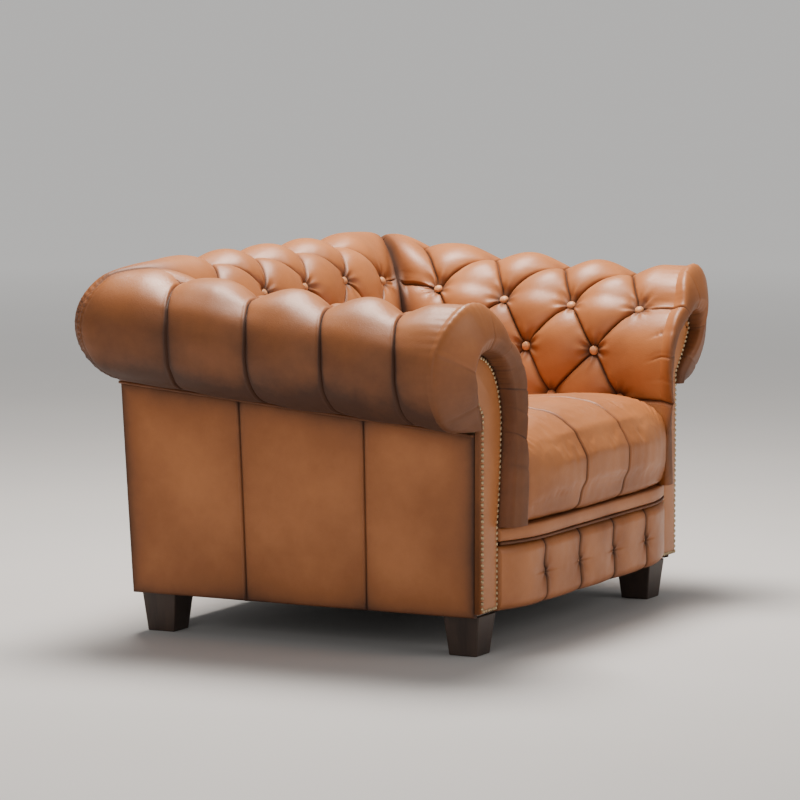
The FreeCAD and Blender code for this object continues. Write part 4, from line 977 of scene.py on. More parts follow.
# the line under the roll where the cover is tacked down, behind the welt
TACK_LINE = 0.4575
TACK_REAR = 0.776
TACK_HEIGHT = 0.4235


def turned_under(outer_line, inner_line, burnish):
    """The strip of leather that runs in under the roll to where it is tacked, painted dark as shade under the roll."""
    inward = np.linspace(0, 1, 9)[:, None, None]
    return outer_line + (inner_line - outer_line) * inward, burnish * (1 - inward[..., 0]) + 0.6


back_tufts = Tufting(back_line, back_point, back_mitre, 0, BACK_PITCH, BACK_COLUMNS, BACK_DEEP, back_folds, BACK_SEED,
                     (40, 70, 20, 40))
for side, side_name, seed in ((1, "left", 11), (-1, "right", 47)):
    arm_tufts = Tufting(arm_line, arm_point, arm_mitre, 1, ARM_PITCH, ARM_COLUMNS, ARM_DEEP, arm_folds, seed,
                        (40, 84, 22, 44))
    patches = []
    for column, share in arm_tufts.grids(arm_low_end, arm_high_end):
        points, burnish = laid(arm_tufts, column, share)
        # painted shade, darker towards the underside of the roll
        patches.append((points, burnish + 0.30 * eased(share, 0.78, 1.0)))
    patches.append(front_border(arm_tufts))
    along = np.concatenate([np.linspace(0, 1, 200), [1.0]])
    column = arm_low_end(1.0) + (arm_high_end(1.0) - arm_low_end(1.0)) * along
    outer_line, burnish = laid(arm_tufts, column, np.ones_like(column))
    inner_y = np.interp(along, [0, 1], [LIP_START[-1], TACK_REAR])
    inner_z = TACK_HEIGHT + SIDE_RISE * inner_y / SIDE_LENGTH
    inner_line = np.stack([np.full_like(along, TACK_LINE), inner_y, inner_z], -1)
    patches.append(turned_under(outer_line, inner_line, burnish))
    column = back_high_end(1.0) + ((SIDE_LINE / BACK_PITCH + 2) - back_high_end(1.0)) * np.linspace(0, 1, 30)
    outer_line, burnish = laid(back_tufts, column, np.ones_like(column))
    patches.append(turned_under(outer_line, inner_line[-1], burnish))
    patches = [(into_row(grid, side), burnish) for grid, burnish in patches]
    cover = sewn_mesh("arm_leather_" + side_name, patches, hide, (side * 0.2, FRONT + 0.3, 0.56))
    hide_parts("arm_cover_" + side_name, "arm_foam_" + side_name)
    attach(cover, "chair")

# Rolled back
# The same buttoned leather across the back, drawn over foam and the top rail, mitred into both arms and tacked down
# above the outside back.

patches = []
for column, share in back_tufts.grids(back_low_end, back_high_end):
    points, burnish = laid(back_tufts, column, share)
    # painted shade, darker towards the underside of the roll
    patches.append((into_row(points, 1), burnish + 0.25 * eased(share, 0.85, 1.0)))
cover = sewn_mesh("back_leather", patches, hide, (0, FRONT + 0.3, 0.58))
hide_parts("back_cover", "back_foam")
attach(cover, "chair")

# Buttons
# Domed buttons covered in a paler piece of the same leather, drawn in on twine through the filling where the pleats
# cross.


def repeated(name, seed_object, sockets, build):
    """Repeats a shape on a seed object with a Geometry Nodes tree, and keeps what it makes as a plain mesh.

    Sockets names the tree's inputs, with their kinds and values; build wires them and gives back the instances.
    """
    tree = bpy.data.node_groups.new(name + "_tree", "GeometryNodeTree")
    tree.interface.new_socket("Geometry", in_out="INPUT", socket_type="NodeSocketGeometry")
    tree.interface.new_socket("Geometry", in_out="OUTPUT", socket_type="NodeSocketGeometry")
    keys = {}
    for socket, (kind, _) in sockets.items():
        keys[socket] = tree.interface.new_socket(socket, in_out="INPUT", socket_type=kind).identifier
    start = tree.nodes.new("NodeGroupInput")
    end = tree.nodes.new("NodeGroupOutput")
    wires = {socket: Wire(tree, start.outputs[socket]) for socket in ("Geometry", *sockets)}
    places = build(wires)
    real = places.node("GeometryNodeRealizeInstances", {}, {"Geometry": places})
    real.node("GeometryNodeSetMaterial", {}, {"Geometry": real, "Material": wires["Material"]}).feed(end, "Geometry")
    modifier = seed_object.modifiers.new("repeat", "NODES")
    modifier.node_group = tree
    for socket, (_, value) in sockets.items():
        modifier[keys[socket]] = value
    mesh = bpy.data.meshes.new_from_object(seed_object.evaluated_get(bpy.context.evaluated_depsgraph_get()))
    mesh.name = name
    bpy.data.objects.remove(seed_object)
    mesh.materials.clear()
    return placed(name, mesh, sockets["Material"][1])


def domed_heads(wires):
    """A domed head on each point, faced along the point's own direction, its size a little uneven."""
    points = wires["Geometry"]
    ball = points.node("GeometryNodeMeshUVSphere", {}, {"Segments": wires["Segments"], "Rings": wires["Rings"],
                                                        "Radius": 1.0})
    size = points.node("ShaderNodeCombineXYZ", {}, {"X": wires["Radius"], "Y": wires["Radius"], "Z": wires["Height"]})
    flat = points.node("GeometryNodeTransform", {}, {"Geometry": ball, "Scale": size})
    smooth = points.node("GeometryNodeSetShadeSmooth", {}, {"Geometry": flat})
    facing = points.node("GeometryNodeInputNamedAttribute", {"data_type": "FLOAT_VECTOR"}, {"Name": "facing"},
                         "Attribute")
    turn = points.node("FunctionNodeAlignEulerToVector", {"axis": "Z"}, {"Vector": facing}, "Rotation")
    spread = points.node("FunctionNodeRandomValue", {"data_type": "FLOAT"},
                         {2: 0.94, 3: 1.04, "Seed": wires["Seed"]}, 1)
    return points.node("GeometryNodeInstanceOnPoints", {}, {"Points": points, "Instance": smooth, "Rotation": turn,
                                                            "Scale": spread})


def heads(name, points, facings, radius, height, segments, rings, material):
    """Many small domed heads as one piece."""
    mesh = bpy.data.meshes.new(name + "_places")
    mesh.from_pydata([tuple(point) for point in points], [], [])
    mesh.attributes.new("facing", "FLOAT_VECTOR", "POINT").data.foreach_set("vector", np.array(facings).reshape(-1))
    sockets = {"Radius": ("NodeSocketFloat", radius), "Height": ("NodeSocketFloat", height),
               "Segments": ("NodeSocketInt", segments), "Rings": ("NodeSocketInt", rings),
               "Seed": ("NodeSocketInt", 5), "Material": ("NodeSocketMaterial", material)}
    return repeated(name, placed(name + "_places", mesh), sockets, domed_heads)


# a button's radius and height, and how deep it sits under the smooth outline of an arm and of the back
BUTTON_RADIUS = 0.0095
BUTTON_HIGH = 0.0062
BUTTON_DEEP = 0.0195
BACK_BUTTON_DEEP = BUTTON_DEEP + 0.004
button_hide = leather("button_hide", (0.66, 0.30, 0.13), (0.50, 0.20, 0.078), (0.20, 0.08, 0.034), HIDE_SHINE)
for node, tufts, side, deep in (("arm_buttons_left", arm_tufts, 1, BUTTON_DEEP),
                                ("arm_buttons_right", arm_tufts, -1, BUTTON_DEEP),
                                ("back_buttons", back_tufts, 1, BACK_BUTTON_DEEP)):
    column, share = tufts.button_places()
    smooth = tufts.line_point(column, share)
    facings = tufts.outward(column, share)
    points = into_corner(smooth - facings * deep, smooth, share, tufts)
    buttons = heads(node + "_covered", into_row(points, side), facings * np.array([side, 1, 1]), BUTTON_RADIUS,
                    BUTTON_HIGH, 20, 10, button_hide)
    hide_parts(node)
    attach(buttons, "chair")

# Outside arms and outside back
# Thin leather over board, pieced with two lapped and stitched upright seams on each side, and turned under at the
# edges.

# the round of a panel's rim and how far it is turned in, its seams behind the front plane, how it swells; then how
# deep a seam is cut, how high the lapped side stands, and the length of a stitch
PANEL_EDGE = 0.005
PANEL_TURN_IN = 0.010
PANEL_SEAMS = (0.238, 0.498)
PANEL_SWELL = 0.0022
SEAM_CUT = 0.0022
SEAM_LAP = 0.0016
SEAM_STITCH = 0.0058


def panel_grid(corners, outward, seams, seed):
    """A padded panel between four corners (low front, low rear, top rear, top front), its rim turned in."""
    low_front, low_rear, top_rear, top_front = (np.array(corner) for corner in corners)
    length = np.linalg.norm(low_rear - low_front)
    height = np.linalg.norm(top_front - low_front)
    columns = [np.linspace(0, 1, 120)]
    for stop in (0, *(seam / length for seam in seams), 1):
        columns.append(np.clip(stop + np.linspace(-0.02, 0.02, 41) ** 3 / 0.0004, 0, 1))
    close = np.linspace(0, 1, 18) ** 2 * 0.04
    rows = np.unique(np.concatenate([np.linspace(0, 1, 70), close, 1 - close]))
    s, t = np.meshgrid(np.unique(np.concatenate(columns)), rows, indexing="ij")
    base = ((1 - t)[..., None] * ((1 - s)[..., None] * low_front + s[..., None] * low_rear)
            + t[..., None] * ((1 - s)[..., None] * top_front + s[..., None] * top_rear))
    along = s * length
    up = t * height
    rim_up = np.minimum(up, height - up)
    rim = np.minimum(np.minimum(along, length - along), rim_up)
    gap = np.abs(along[..., None] - np.array([0, *seams, length])).min(-1)
    swell = PANEL_SWELL * (1 - fade(gap, 0.028)) * (1 - fade(rim_up, 0.05))
    swell += 0.0009 * ripples(along, up * 0.6, 0.30, seed) + 0.0004 * ripples(along, up, 0.10, seed + 1)
    for seam in seams:
        off = along - seam
        swell -= SEAM_CUT * hump(off, 0.0013)
        swell += SEAM_LAP * hump(off - 0.0042, 0.0028) + 0.0005 * hump(off + 0.0045, 0.0030)
        swell += 0.0004 * np.sin(up * 2 * np.pi / SEAM_STITCH) * hump(off - 0.0082, 0.0012)
    round_in = PANEL_EDGE * (1 - np.sqrt(1 - (1 - np.clip(rim / PANEL_EDGE, 0, 1)) ** 2))
    grid = np.pad(base + outward * (swell - round_in)[..., None], ((1, 1), (1, 1), (0, 0)), mode="edge")
    # painted shade in the seams' cuts; darker towards the rim and beside the seams; uneven tone
    burnish = 0.44 * fade(rim, 0.012) + 0.34 * fade(rim, 0.060) + 0.20 * fade(gap, 0.024)
    for seam in seams:
        burnish += 0.55 * fade(np.abs(along - seam), 0.0020)
    burnish += 0.08 * ripples(along, up, 0.22, seed + 2) + 0.10
    inward = np.pad(np.zeros(burnish.shape), 1, constant_values=PANEL_TURN_IN)
    return grid - outward * inward[..., None], np.pad(burnish, 1, mode="edge")


# the panels' corners: their foot, the sides' distance from the middle, the line of the front boards, the body's depth,
# and the outside back's half width with the depth and height of its top
PANEL_BASE = 0.078
PANEL_SIDE = 0.4592
BOARD_LINE = 0.0137
BODY_DEPTH = 0.752
REAR_HALF = 0.4465
REAR_LEAN = 0.7781
REAR_TOP = 0.5105
side_corners = [(PANEL_SIDE, BOARD_LINE, PANEL_BASE), (PANEL_SIDE, BODY_DEPTH, PANEL_BASE),
                (PANEL_SIDE, SIDE_LENGTH, 0.4885), (PANEL_SIDE, BOARD_LINE, 0.423)]
side_seams = [seam - BOARD_LINE for seam in PANEL_SEAMS]
rear_corners = [(REAR_HALF, BODY_DEPTH, PANEL_BASE), (-REAR_HALF, BODY_DEPTH, PANEL_BASE),
                (-REAR_HALF, REAR_LEAN, REAR_TOP), (REAR_HALF, REAR_LEAN, REAR_TOP)]
for name, node, corners, outward, seams, seed, side, towards in (
        ("outside_arm_leather_left", "outside_arm_left", side_corners, (1, 0, 0), side_seams, 5, 1, (2, 0, 0.3)),
        ("outside_arm_leather_right", "outside_arm_right", side_corners, (1, 0, 0), side_seams, 23, -1, (-2, 0, 0.3)),
        ("outside_back_leather", "outside_back", rear_corners, (0, 0.998, -0.058), (), 61, 1, (0, 2, 0.3))):
    grid, burnish = panel_grid(corners, np.array(outward, dtype=float), seams, seed)
    panel = sewn_mesh(name, [(into_row(grid, side), burnish)], hide, towards)
    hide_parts(node)
    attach(panel, "chair")

# Arm facings
# Plywood boards padded and covered in leather, pressed into the arm's front, with brass-headed nails all round.

# each ring's distance inside the facing's outline, and how far it lies behind its front
FACING_RINGS = ((0.0, 0.013), (0.0, 0.004), (0.0006, 0.0018), (0.0018, 0.0006), (0.004, 0.0), (0.008, -0.0012),
                (0.014, -0.0022), (0.022, -0.0030))
FACING_RIM_WIDE = 0.004
NAIL_INSET = 0.0052
NAIL_PITCH = 0.0104
NAIL_RADIUS = 0.0041
NAIL_HIGH = 0.0030
NAIL_SUNK = 0.0002
nail_brass = metal("antique_brass", (0.62, 0.46, 0.27), 0.22, 0.45)


def front_outline(node):
    """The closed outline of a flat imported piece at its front, as points of X and Z in order."""
    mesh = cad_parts[node].data
    flat = bmesh.new()
    flat.from_mesh(mesh)
    bmesh.ops.remove_doubles(flat, verts=flat.verts, dist=0.00001)
    front = min(vert.co.y for vert in flat.verts)
    edges = {}
    for edge in flat.edges:
        if all(abs(vert.co.y - front) < 1e-5 for vert in edge.verts) and edge.calc_face_angle(0) > 1:
            for vert in edge.verts:
                edges.setdefault(vert.index, []).append(edge.other_vert(vert))
    start = next(iter(edges))
    flat.verts.ensure_lookup_table()
    loop = [flat.verts[start]]
    last = None
    while True:
        following = [vert for vert in edges[loop[-1].index] if vert is not last]
        last = loop[-1]
        if following[0] is loop[0] or len(loop) > 5000:
            break
        loop.append(following[0])
    points = np.array([(vert.co.x, vert.co.z) for vert in loop])
    flat.free()
    return points, front


def even_loop(points, pitch):
    """The same closed line with evenly spaced points."""
    closed = np.concatenate([points, points[:1]])
    lengths = lengths_along(closed)
    count = int(round(lengths[-1] / pitch))
    where = np.linspace(0, lengths[-1], count + 1)[:-1]
    return np.stack([np.interp(where, lengths, closed[:, axis]) for axis in range(2)], -1)


def inset_loop(points, depth):
    """A closed line drawn in by a depth, its corners mitred."""
    before = points - np.roll(points, 1, axis=0)
    before /= np.linalg.norm(before, axis=-1, keepdims=True)
    both_ways = before + np.roll(before, -1, axis=0)
    both_ways /= np.linalg.norm(both_ways, axis=-1, keepdims=True)
    following = np.roll(points, -1, axis=0)
    turn = np.sign((points[:, 0] * following[:, 1] - following[:, 0] * points[:, 1]).sum())
    lean = (before * both_ways).sum(axis=-1)
    return points + np.stack([-both_ways[:, 1], both_ways[:, 0]], -1) * (turn * depth / lean)[:, None]


for side_name in ("left", "right"):
    outline, front = front_outline("arm_facing_" + side_name)
    rings = []
    shades = []
    for depth, back in FACING_RINGS:
        ring = inset_loop(outline, depth)
        rings.append(np.stack([ring[:, 0], np.full(len(ring), front + back), ring[:, 1]], -1))
        shades.append(np.full(len(ring), 0.65 * math.exp(-depth / FACING_RIM_WIDE) + 0.05))
    middle = rings[-1].mean(axis=0)
    grid, shade = (np.concatenate([part, part[:, :1]], axis=1) for part in (np.stack(rings), np.stack(shades)))
    facing = sewn_mesh("arm_facing_leather_" + side_name, [(grid, shade)], hide,
                       (middle[0], front - 1, middle[2]), [(rings[-1], shades[-1][0])])
    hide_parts("arm_facing_" + side_name)
    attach(facing, "chair")
    places = even_loop(inset_loop(outline, NAIL_INSET), NAIL_PITCH)
    points = np.stack([places[:, 0], np.full(len(places), front - NAIL_SUNK), places[:, 1]], -1)
    nails = heads("facing_nails_" + side_name + "_brass", points, [(0, -1, 0)] * len(points), NAIL_RADIUS, NAIL_HIGH,
                  12, 8, nail_brass)
    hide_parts("facing_nails_" + side_name)
    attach(nails, "chair")

# Welts and piping
# Cords covered in strips of the same leather, sewn into the corner under each roll, under the back's roll and above
# the front rail.

CORD_STEP = 0.006


def covered_cord(name, path, radius, seed, node):
    """A round cord along a path, its cover slightly uneven and painted dark all over as shade."""
    path = np.array(path, dtype=float)
    lengths = lengths_along(path)
    where = np.linspace(0, lengths[-1], int(lengths[-1] / CORD_STEP) + 2)
    line = np.stack([np.interp(where, lengths, path[:, axis]) for axis in range(3)], -1)
    ahead = np.gradient(line, axis=0)
    ahead /= np.linalg.norm(ahead, axis=-1, keepdims=True)
    side = np.cross(ahead, [0, 0, 1.0])
    side /= np.linalg.norm(side, axis=-1, keepdims=True)
    up = np.cross(side, ahead)
    turns = np.linspace(0, 2 * np.pi, 15)
    girth = radius * (1 + 0.05 * ripples(where, where * 0, 0.03, seed))
    spokes = np.cos(turns)[None, :, None] * side[:, None] + np.sin(turns)[None, :, None] * up[:, None]
    grid = line[:, None] + girth[:, None, None] * spokes
    caps = [np.broadcast_to(line[end], grid[:1].shape) for end in (0, -1)]
    grid = np.concatenate([caps[0], grid, caps[1]])
    # painted shade: the whole cord is coloured as dark as the shade it sits in
    cord = sewn_mesh(name, [(grid, np.full(grid.shape[:2], 0.80))], hide, tuple(line[len(line) // 2] + up[0] * 0.1))
    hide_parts(node)
    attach(cord, "chair")


SIDE_WELT_RADIUS = 0.0030
BACK_WELT_RADIUS = 0.0027
for side_name in ("left", "right"):
    low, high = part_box("side_welt_" + side_name)
    x = (low.x + high.x) / 2
    path = [(x, low.y, low.z + BACK_WELT_RADIUS), (x, high.y, high.z - BACK_WELT_RADIUS)]
    covered_cord("side_welt_cord_" + side_name, path, SIDE_WELT_RADIUS, 17, "side_welt_" + side_name)
low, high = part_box("back_welt")
middle = (low + high) / 2
covered_cord("back_welt_cord", [(low.x, middle.y, middle.z), (high.x, middle.y, middle.z)], BACK_WELT_RADIUS, 19,
             "back_welt")

# Front rail
# A padded rail under the seat, pinched by four buttons; a short upright fold runs up and down from each of them. The
# piping is sewn on along its top.

# half its length, how far it stands proud, how much its ends curve back and from where, its foot and its top, the
# height and pitch of its buttons, how deep its edges are rounded, and how far a button's hold reaches
RAIL_HALF = 0.383
RAIL_REACH = 0.038
RAIL_CURVE = 0.030
RAIL_STRAIGHT = 0.240
RAIL_LOW = 0.082
RAIL_HIGH = 0.209
RAIL_BUTTON = 0.143
RAIL_PITCH = 0.158
RAIL_EDGE = 0.020
RAIL_HOLD = 0.026


def rail_reach(x):
    """How far the rail stands proud of the front plane; its ends curve back."""
    out = np.clip(np.abs(x) - RAIL_STRAIGHT, 0, None) / (RAIL_HALF - RAIL_STRAIGHT)
    return RAIL_REACH - RAIL_CURVE * out ** 2


def rounded_rim(edge, width, depth):
    """How far a face falls back beside its rim, as a quarter round."""
    return depth * (1 - np.sqrt(1 - (1 - np.clip(edge / width, 0, 1)) ** 2))


def turned_back(grid, shade):
    """The same face with its rim turned back to the boards."""
    grid = np.pad(grid, ((1, 1), (1, 1), (0, 0)), mode="edge")
    rim = np.pad(np.zeros(shade.shape, dtype=bool), 1, constant_values=True)
    grid[..., 1] = np.where(rim, BOARD_LINE, grid[..., 1])
    return into_row(grid, 1), np.pad(shade, 1, mode="edge")


pinches = np.array([-1.5, -0.5, 0.5, 1.5]) * RAIL_PITCH
stops = [-RAIL_HALF, *pinches, RAIL_HALF]
columns = [left + (right - left) * steps_between(48, 0.9) for left, right in zip(stops, stops[1:])]
x, t = np.meshgrid(np.unique(np.concatenate(columns)), np.linspace(0, 1, 80), indexing="ij")
z = RAIL_LOW + (RAIL_HIGH - RAIL_LOW) * t
edge = np.minimum(t, 1 - t)
lean = 0.0035 * np.sin((t - 0.45) * 5.0)
near = np.abs(x[..., None] + lean[..., None] - pinches).min(-1)
away = z - RAIL_BUTTON
reach = np.hypot(near, away)
hold = hump(away, RAIL_HOLD)
hollow = 1 - np.sin(np.pi * np.clip(near / (RAIL_PITCH / 2), 0, 1) / 2) ** 0.55
depth = hollow * (0.0060 + 0.0055 * hold)
depth += (0.0045 * hold + 0.0026) * fade(near, 0.0020)
depth -= 0.0012 * hump(near - 0.007, 0.004) * (0.4 + hold)
depth += 0.0012 * ripples(x, z * 0.7, 0.05, 71) * fade(near, 0.02) + 0.0002 * ripples(x, z, 0.03, 72)
depth += 0.0026 * np.sin(np.arctan2(away, near + 1e-6) * 6 + np.sign(away)) * fade(reach, 0.016)
# painted shade in the pinches, round the buttons and where the rail rounds back at top and foot; uneven tone
burnish = 0.75 * fade(near, 0.0030) + 0.35 * fade(near, 0.016) + 0.6 * fade(reach, 0.012)
burnish += 0.4 * fade(edge, 0.05) + 0.16 + 0.10 * ripples(x, z, 0.13, 73)
face = np.stack([x, -rail_reach(x) + rounded_rim(edge, 0.17, RAIL_EDGE) + depth, z], -1)
rail = sewn_mesh("rail_leather", [turned_back(face, burnish)], hide, (0, -2, 0.15))
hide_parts("rail_cover")
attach(rail, "chair")

RAIL_BUTTON_RADIUS = 0.0085
RAIL_BUTTON_HIGH = 0.0045
RAIL_BUTTON_DEEP = 0.0150
points = np.stack([pinches, -rail_reach(pinches) + RAIL_BUTTON_DEEP, np.full(4, RAIL_BUTTON)], -1)
buttons = heads("rail_buttons_covered", into_row(points, 1), [(0, -1, 0)] * 4, RAIL_BUTTON_RADIUS, RAIL_BUTTON_HIGH,
                20, 10, button_hide)
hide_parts("rail_buttons")
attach(buttons, "chair")

PIPING_RADIUS = 0.0029
PIPING_HEIGHT = 0.2118
columns = np.linspace(-RAIL_HALF, RAIL_HALF, 160)
piping_path = np.stack([columns, 0.004 - rail_reach(columns), np.full(160, PIPING_HEIGHT)], -1)
covered_cord("rail_piping_cord", into_row(piping_path, 1), PIPING_RADIUS, 29, "rail_piping")

# Deck band
# The plain strip of leather between the piping and the seat, drawn over the front of the deck and tacked behind the
# rail.

BAND_LOW = 0.2147
BAND_TALL = 0.0280
BAND_EDGE = 0.004
x, t = np.meshgrid(np.linspace(-RAIL_HALF, RAIL_HALF, 240), np.linspace(0, 1, 22), indexing="ij")
edge = np.minimum(t, 1 - t)
swell = 0.0012 * np.sin(np.pi * t) + 0.0007 * ripples(x, t * 0.03, 0.12, 91)
face = np.stack([x, 0.003 - rail_reach(x) + rounded_rim(edge, 0.16, BAND_EDGE) - swell, BAND_LOW + BAND_TALL * t], -1)
shade = 0.55 * fade(edge, 0.10) + 0.15 + 0.1 * ripples(x, t * 0.05, 0.15, 92)
band = sewn_mesh("deck_band_leather", [turned_back(face, shade)], hide, (0, -2, 0.23))
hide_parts("deck_band")
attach(band, "chair")

# Loose seat cushion
# A foam core in a leather cover, crowned on top and swelling at the front, with two channels sewn from the rear
# edge over the top and down the front; it lies on the deck between the arms.

CUSHION_HALF = 0.3428
CUSHION_REAR = 0.5395
CUSHION_LOW = 0.2435
CUSHION_CREST = 0.4420
CUSHION_SEAMS = (-0.100, 0.100)
# the form before the cover swells: half its width, how its crown falls and its front draws back towards the ends, and
# how thick the rounding of its end panels is; then the cell of its mesh, the most that a point may move, and the fill
CUSHION_START = 0.340
CUSHION_FALL = 0.021
CUSHION_DRAW = 0.018
CUSHION_END = 0.010
CUSHION_CELL = 0.006
CUSHION_CAP = 0.006
CUSHION_FILL = 0.0055
# the section through the middle, from the front's foot over the top to the rear
CUSHION_SECTION = [(-0.031, 0.2455), (-0.041, 0.254), (-0.0465, 0.300), (-0.0475, 0.345), (-0.044, 0.376),
                   (-0.032, 0.400), (-0.005, 0.419), (0.037, 0.427), (0.08, 0.4315), (0.12, 0.4315), (0.20, 0.425),
                   (0.30, 0.4155), (0.40, 0.4065), (0.48, 0.398), (0.515, 0.389), (0.530, 0.371), (0.5345, 0.345),
                   (0.5345, 0.260), (0.526, 0.2475)]
SECTION_MIDDLE = np.array([0.25, 0.335])
SECTION_HALVES = np.array([0.28, 0.088])


def cushion_form():
    """The closed form that the cover starts from: crowned, drawn back at the front's ends, with tight end panels."""
    section = np.array(CUSHION_SECTION)
    rows = []
    inner = CUSHION_START - CUSHION_END
    rounding = CUSHION_END * np.sin(np.linspace(0, 1, 9) * math.pi / 2)
    for across in np.concatenate([np.linspace(0, inner, 16)[:-1], inner + rounding]):
        share = across / CUSHION_START
        row = section.copy()
        raised = np.clip((row[:, 1] - 0.25) / 0.18, 0, 1)
        row[:, 1] -= CUSHION_FALL * share ** 1.8 * raised
        row[:, 0] += CUSHION_DRAW * share ** 4 * np.clip(1 - row[:, 0] / 0.08, 0, 1)
        past = max(0.0, (across - inner) / CUSHION_END)
        tight = CUSHION_END * (1 - math.sqrt(max(0.0, 1 - past * past)))
        row = SECTION_MIDDLE + (row - SECTION_MIDDLE) * (1 - tight / SECTION_HALVES)
        rows.append(np.column_stack([np.full(len(row), across), row]))
    rows.append(np.column_stack([np.full(len(section), CUSHION_START), np.tile(SECTION_MIDDLE, (len(section), 1))]))
    grid = np.stack([row * [-1, 1, 1] for row in rows[:0:-1]] + rows)
    grid = np.concatenate([grid, grid[:, :1]], axis=1)
    return sewn_mesh("cushion_leather", [(into_row(grid, 1), np.zeros(grid.shape[:2]))], hide, (0, 0, 2))


def apply_all(piece):
    """Keeps what the modifiers make as the piece's own mesh."""
    mesh = bpy.data.meshes.new_from_object(piece.evaluated_get(bpy.context.evaluated_depsgraph_get()))
    piece.modifiers.clear()
    piece.data = mesh


def points_of(mesh):
    found = np.empty(len(mesh.vertices) * 3)
    mesh.vertices.foreach_get("co", found)
    return found.reshape(-1, 3)


def facings_of(mesh, points):
    """Moves a mesh to new points and gives each one's outward direction."""
    mesh.vertices.foreach_set("co", points.reshape(-1))
    mesh.update()
    found = np.empty(len(mesh.vertices) * 3)
    mesh.vertex_normals.foreach_get("vector", found)
    return found.reshape(-1, 3)


cushion = cushion_form()
remesh = cushion.modifiers.new("cells", "REMESH")
remesh.mode = "VOXEL"
remesh.voxel_size = CUSHION_CELL
apply_all(cushion)
start = points_of(cushion.data)
fill = facings_of(cushion.data, start) * CUSHION_FILL
cloth = cushion.modifiers.new("cover", "CLOTH")
cloth.settings.quality = 5
cloth.settings.mass = 0.6
cloth.settings.tension_stiffness = 18
cloth.settings.compression_stiffness = 18
cloth.settings.shear_stiffness = 8
cloth.settings.bending_stiffness = 6
cloth.settings.use_pressure = True
cloth.settings.uniform_pressure_force = 4
cloth.settings.effector_weights.gravity = 0
cloth.collision_settings.use_collision = False
for tick in range(1, 21):
    bpy.context.scene.frame_set(tick)
apply_all(cushion)
end = points_of(cushion.data)
bpy.context.scene.frame_set(1)
move = end - start
moved = np.linalg.norm(move, axis=1, keepdims=True)
end = start + move * np.minimum(1, CUSHION_CAP / np.maximum(moved, 1e-9)) + fill
cushion.data.vertices.foreach_set("co", end.reshape(-1))
smooth = cushion.modifiers.new("smooth", "SUBSURF")
smooth.levels = 1
smooth.render_levels = 1
apply_all(cushion)

# the channels need rows of points of their own
CHANNEL_ROWS = (-0.009, -0.0055, -0.0035, -0.0018, -0.0007, 0.0, 0.0007, 0.0018, 0.0035, 0.0055, 0.009)
cut = bmesh.new()
cut.from_mesh(cushion.data)
for seam in CUSHION_SEAMS:
    for off in CHANNEL_ROWS:
        bmesh.ops.bisect_plane(cut, geom=cut.verts[:] + cut.edges[:] + cut.faces[:], plane_co=(seam + off, 0, 0),
                               plane_no=(1, 0, 0), dist=1e-6)
cut.to_mesh(cushion.data)
cut.free()

# the channels' cut, the fullness beside it and the lip along it, then the small puckers, folds and waves of the cover
CHANNEL_CUT, CHANNEL_SINK, CHANNEL_LIP = 0.0036, 0.0034, 0.0011
CHANNEL_PUCKER, COVER_FOLD, COVER_WAVE, CORNER_FOLD = 0.0005, 0.0002, 0.0009, 0.0020
FRONT_NARROWER = 0.0125
points = points_of(cushion.data)
outward = facings_of(cushion.data, points)
x, y, z = points[:, 0], points[:, 1] - FRONT, points[:, 2]
exposed = np.maximum(eased(z, 0.37, 0.42), 1 - eased(y, -0.01, 0.07))
depth = 0
# painted shade in the channels, towards the foot and at the ends beside the arms, with uneven tone
cushion_shade_and_tone = np.zeros(len(points)) + 0.10
for seam, firm in zip(CUSHION_SEAMS, (1.0, 0.75)):
    off = x - seam
    far = np.abs(off)
    hold = firm * exposed
    depth = depth + hold * (CHANNEL_CUT * fade(far, 0.0013) + CHANNEL_SINK * fade(far, 0.016))
    depth = depth - hold * CHANNEL_LIP * hump(off - 0.0052, 0.0028)
    depth = depth + CHANNEL_PUCKER * hump(far - 0.017, 0.013) * ripples(off * 0.4, y + z, 0.034, 101) * hold
    cushion_shade_and_tone = np.maximum(cushion_shade_and_tone, hold * (0.85 * fade(far, 0.0016) + 0.30 * fade(far, 0.014)))
folds = np.sin(x * 2 * np.pi / 0.041 + 1.6 * ripples(x, y - z, 0.22, 103)) * (0.5 + 0.5 * ripples(x, y - z, 0.16, 104))
depth = depth + COVER_FOLD * folds * exposed
depth = depth + COVER_WAVE * ripples(x, (y - z) * 0.6, 0.24, 105) + COVER_FOLD * ripples(x, y - z, 0.05, 106)
corner = np.hypot(np.abs(x) - 0.33, y + 0.02)
corner_folds = np.sin((x * np.sign(x) - y) * 2 * np.pi / 0.021) * hump(corner, 0.045)
depth = depth + CORNER_FOLD * corner_folds * eased(z, 0.36, 0.41)
points = points - outward * depth[:, None]
room = CUSHION_HALF - FRONT_NARROWER * (1 - eased(y + 0.014, 0.0, 0.10))
points[:, 0] = np.clip(points[:, 0], -room, room)
points[:, 1] = np.minimum(points[:, 1], CUSHION_REAR + FRONT)
points[:, 2] = np.clip(points[:, 2], CUSHION_LOW, CUSHION_CREST)
facings_of(cushion.data, points)
cushion_shade_and_tone += 0.30 * (1 - eased(z, 0.25, 0.36)) + 0.08 * ripples(x, y - z, 0.2, 107) + 0.30 * eased(np.abs(x), 0.31, 0.343)
cushion.data.attributes.new("burnish", "FLOAT", "POINT").data.foreach_set("value", cushion_shade_and_tone.astype(np.float32))
cushion.data.materials.clear()
cushion.data.materials.append(hide)
cushion.data.shade_smooth()
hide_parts("cushion_cover", "cushion_core")
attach(cushion, "seat_cushion")

# Zip
# A brass zip across the cushion's rear: woven tape, close teeth, and a slider with a flat pull that runs along them.
# The tape is sewn into the cover's rear seam.

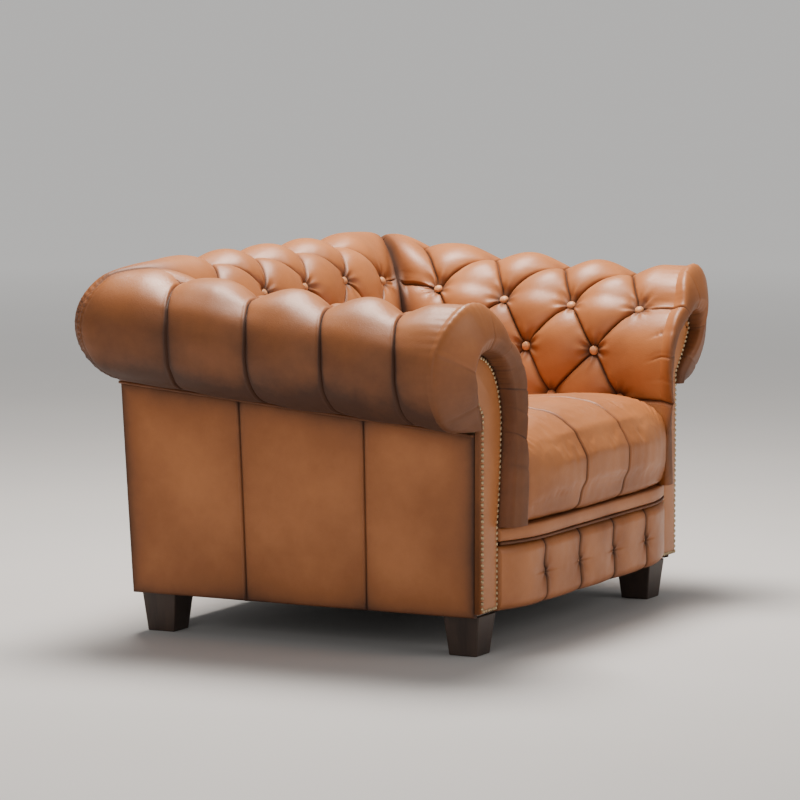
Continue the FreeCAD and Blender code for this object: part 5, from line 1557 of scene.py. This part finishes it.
TOOTH_PITCH = 0.0028
TOOTH_SIZE = (0.0015, 0.0009, 0.0044)
TEETH_INSET = 0.002
TEETH_PROUD = 0.0002
zip_brass = metal("zip_brass", (0.70, 0.52, 0.28), 0.28, 0.6)
dress(woven("zip_cloth", (0.20, 0.11, 0.06), 300, 0.6), "zip_tape")


def close_teeth(wires):
    """Small blocks at an even pitch along a straight line."""
    line = wires["Geometry"].node("GeometryNodeMeshToCurve", {}, {"Mesh": wires["Geometry"]})
    stops = line.node("GeometryNodeResampleCurve", {"mode": "LENGTH"}, {"Curve": line, "Length": wires["Pitch"]})
    tooth = line.node("GeometryNodeMeshCube", {}, {"Size": wires["Size"]})
    return line.node("GeometryNodeInstanceOnPoints", {}, {"Points": stops, "Instance": tooth})


low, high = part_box("zip_tape")
height = (low.z + high.z) / 2
line_mesh = bpy.data.meshes.new("zip_line")
line_mesh.from_pydata([(low.x + TEETH_INSET, high.y + TEETH_PROUD, height),
                       (high.x - TEETH_INSET, high.y + TEETH_PROUD, height)], [(0, 1)], [])
sockets = {"Pitch": ("NodeSocketFloat", TOOTH_PITCH), "Size": ("NodeSocketVector", TOOTH_SIZE),
           "Material": ("NodeSocketMaterial", zip_brass)}
teeth = repeated("zip_teeth", placed("zip_line", line_mesh), sockets, close_teeth)
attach(teeth, "seat_cushion")

# the slider's body, its bridge and its pull: shares of its box from corner to corner, and how far the edges are eased
SLIDER_BLOCKS = (((0, 0, 0.06), (0.55, 0.62, 0.94), 0.0009), ((0.10, 0.45, 0.36), (0.42, 0.92, 0.64), 0.0005),
                 ((0.16, 0.70, 0.26), (1, 1, 0.74), 0.0004))
low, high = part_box("zip_slider")
slider = bmesh.new()
for share_low, share_high, ease in SLIDER_BLOCKS:
    made = bmesh.ops.create_cube(slider, size=1)["verts"]
    for vert in made:
        share = [a + (b - a) * (part + 0.5) for a, b, part in zip(share_low, share_high, vert.co)]
        vert.co = [a + (b - a) * part for a, b, part in zip(low, high, share)]
    edges = {edge for vert in made for edge in vert.link_edges}
    bmesh.ops.bevel(slider, geom=list(edges), offset=ease, segments=2, profile=0.5, affect="EDGES")
slider_mesh = bpy.data.meshes.new("zip_slider_brass")
slider.to_mesh(slider_mesh)
slider.free()
slider_mesh.shade_smooth()
slider_piece = placed("zip_slider_brass", slider_mesh, zip_brass)
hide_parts("zip_slider")
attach(slider_piece, "zip_pull")
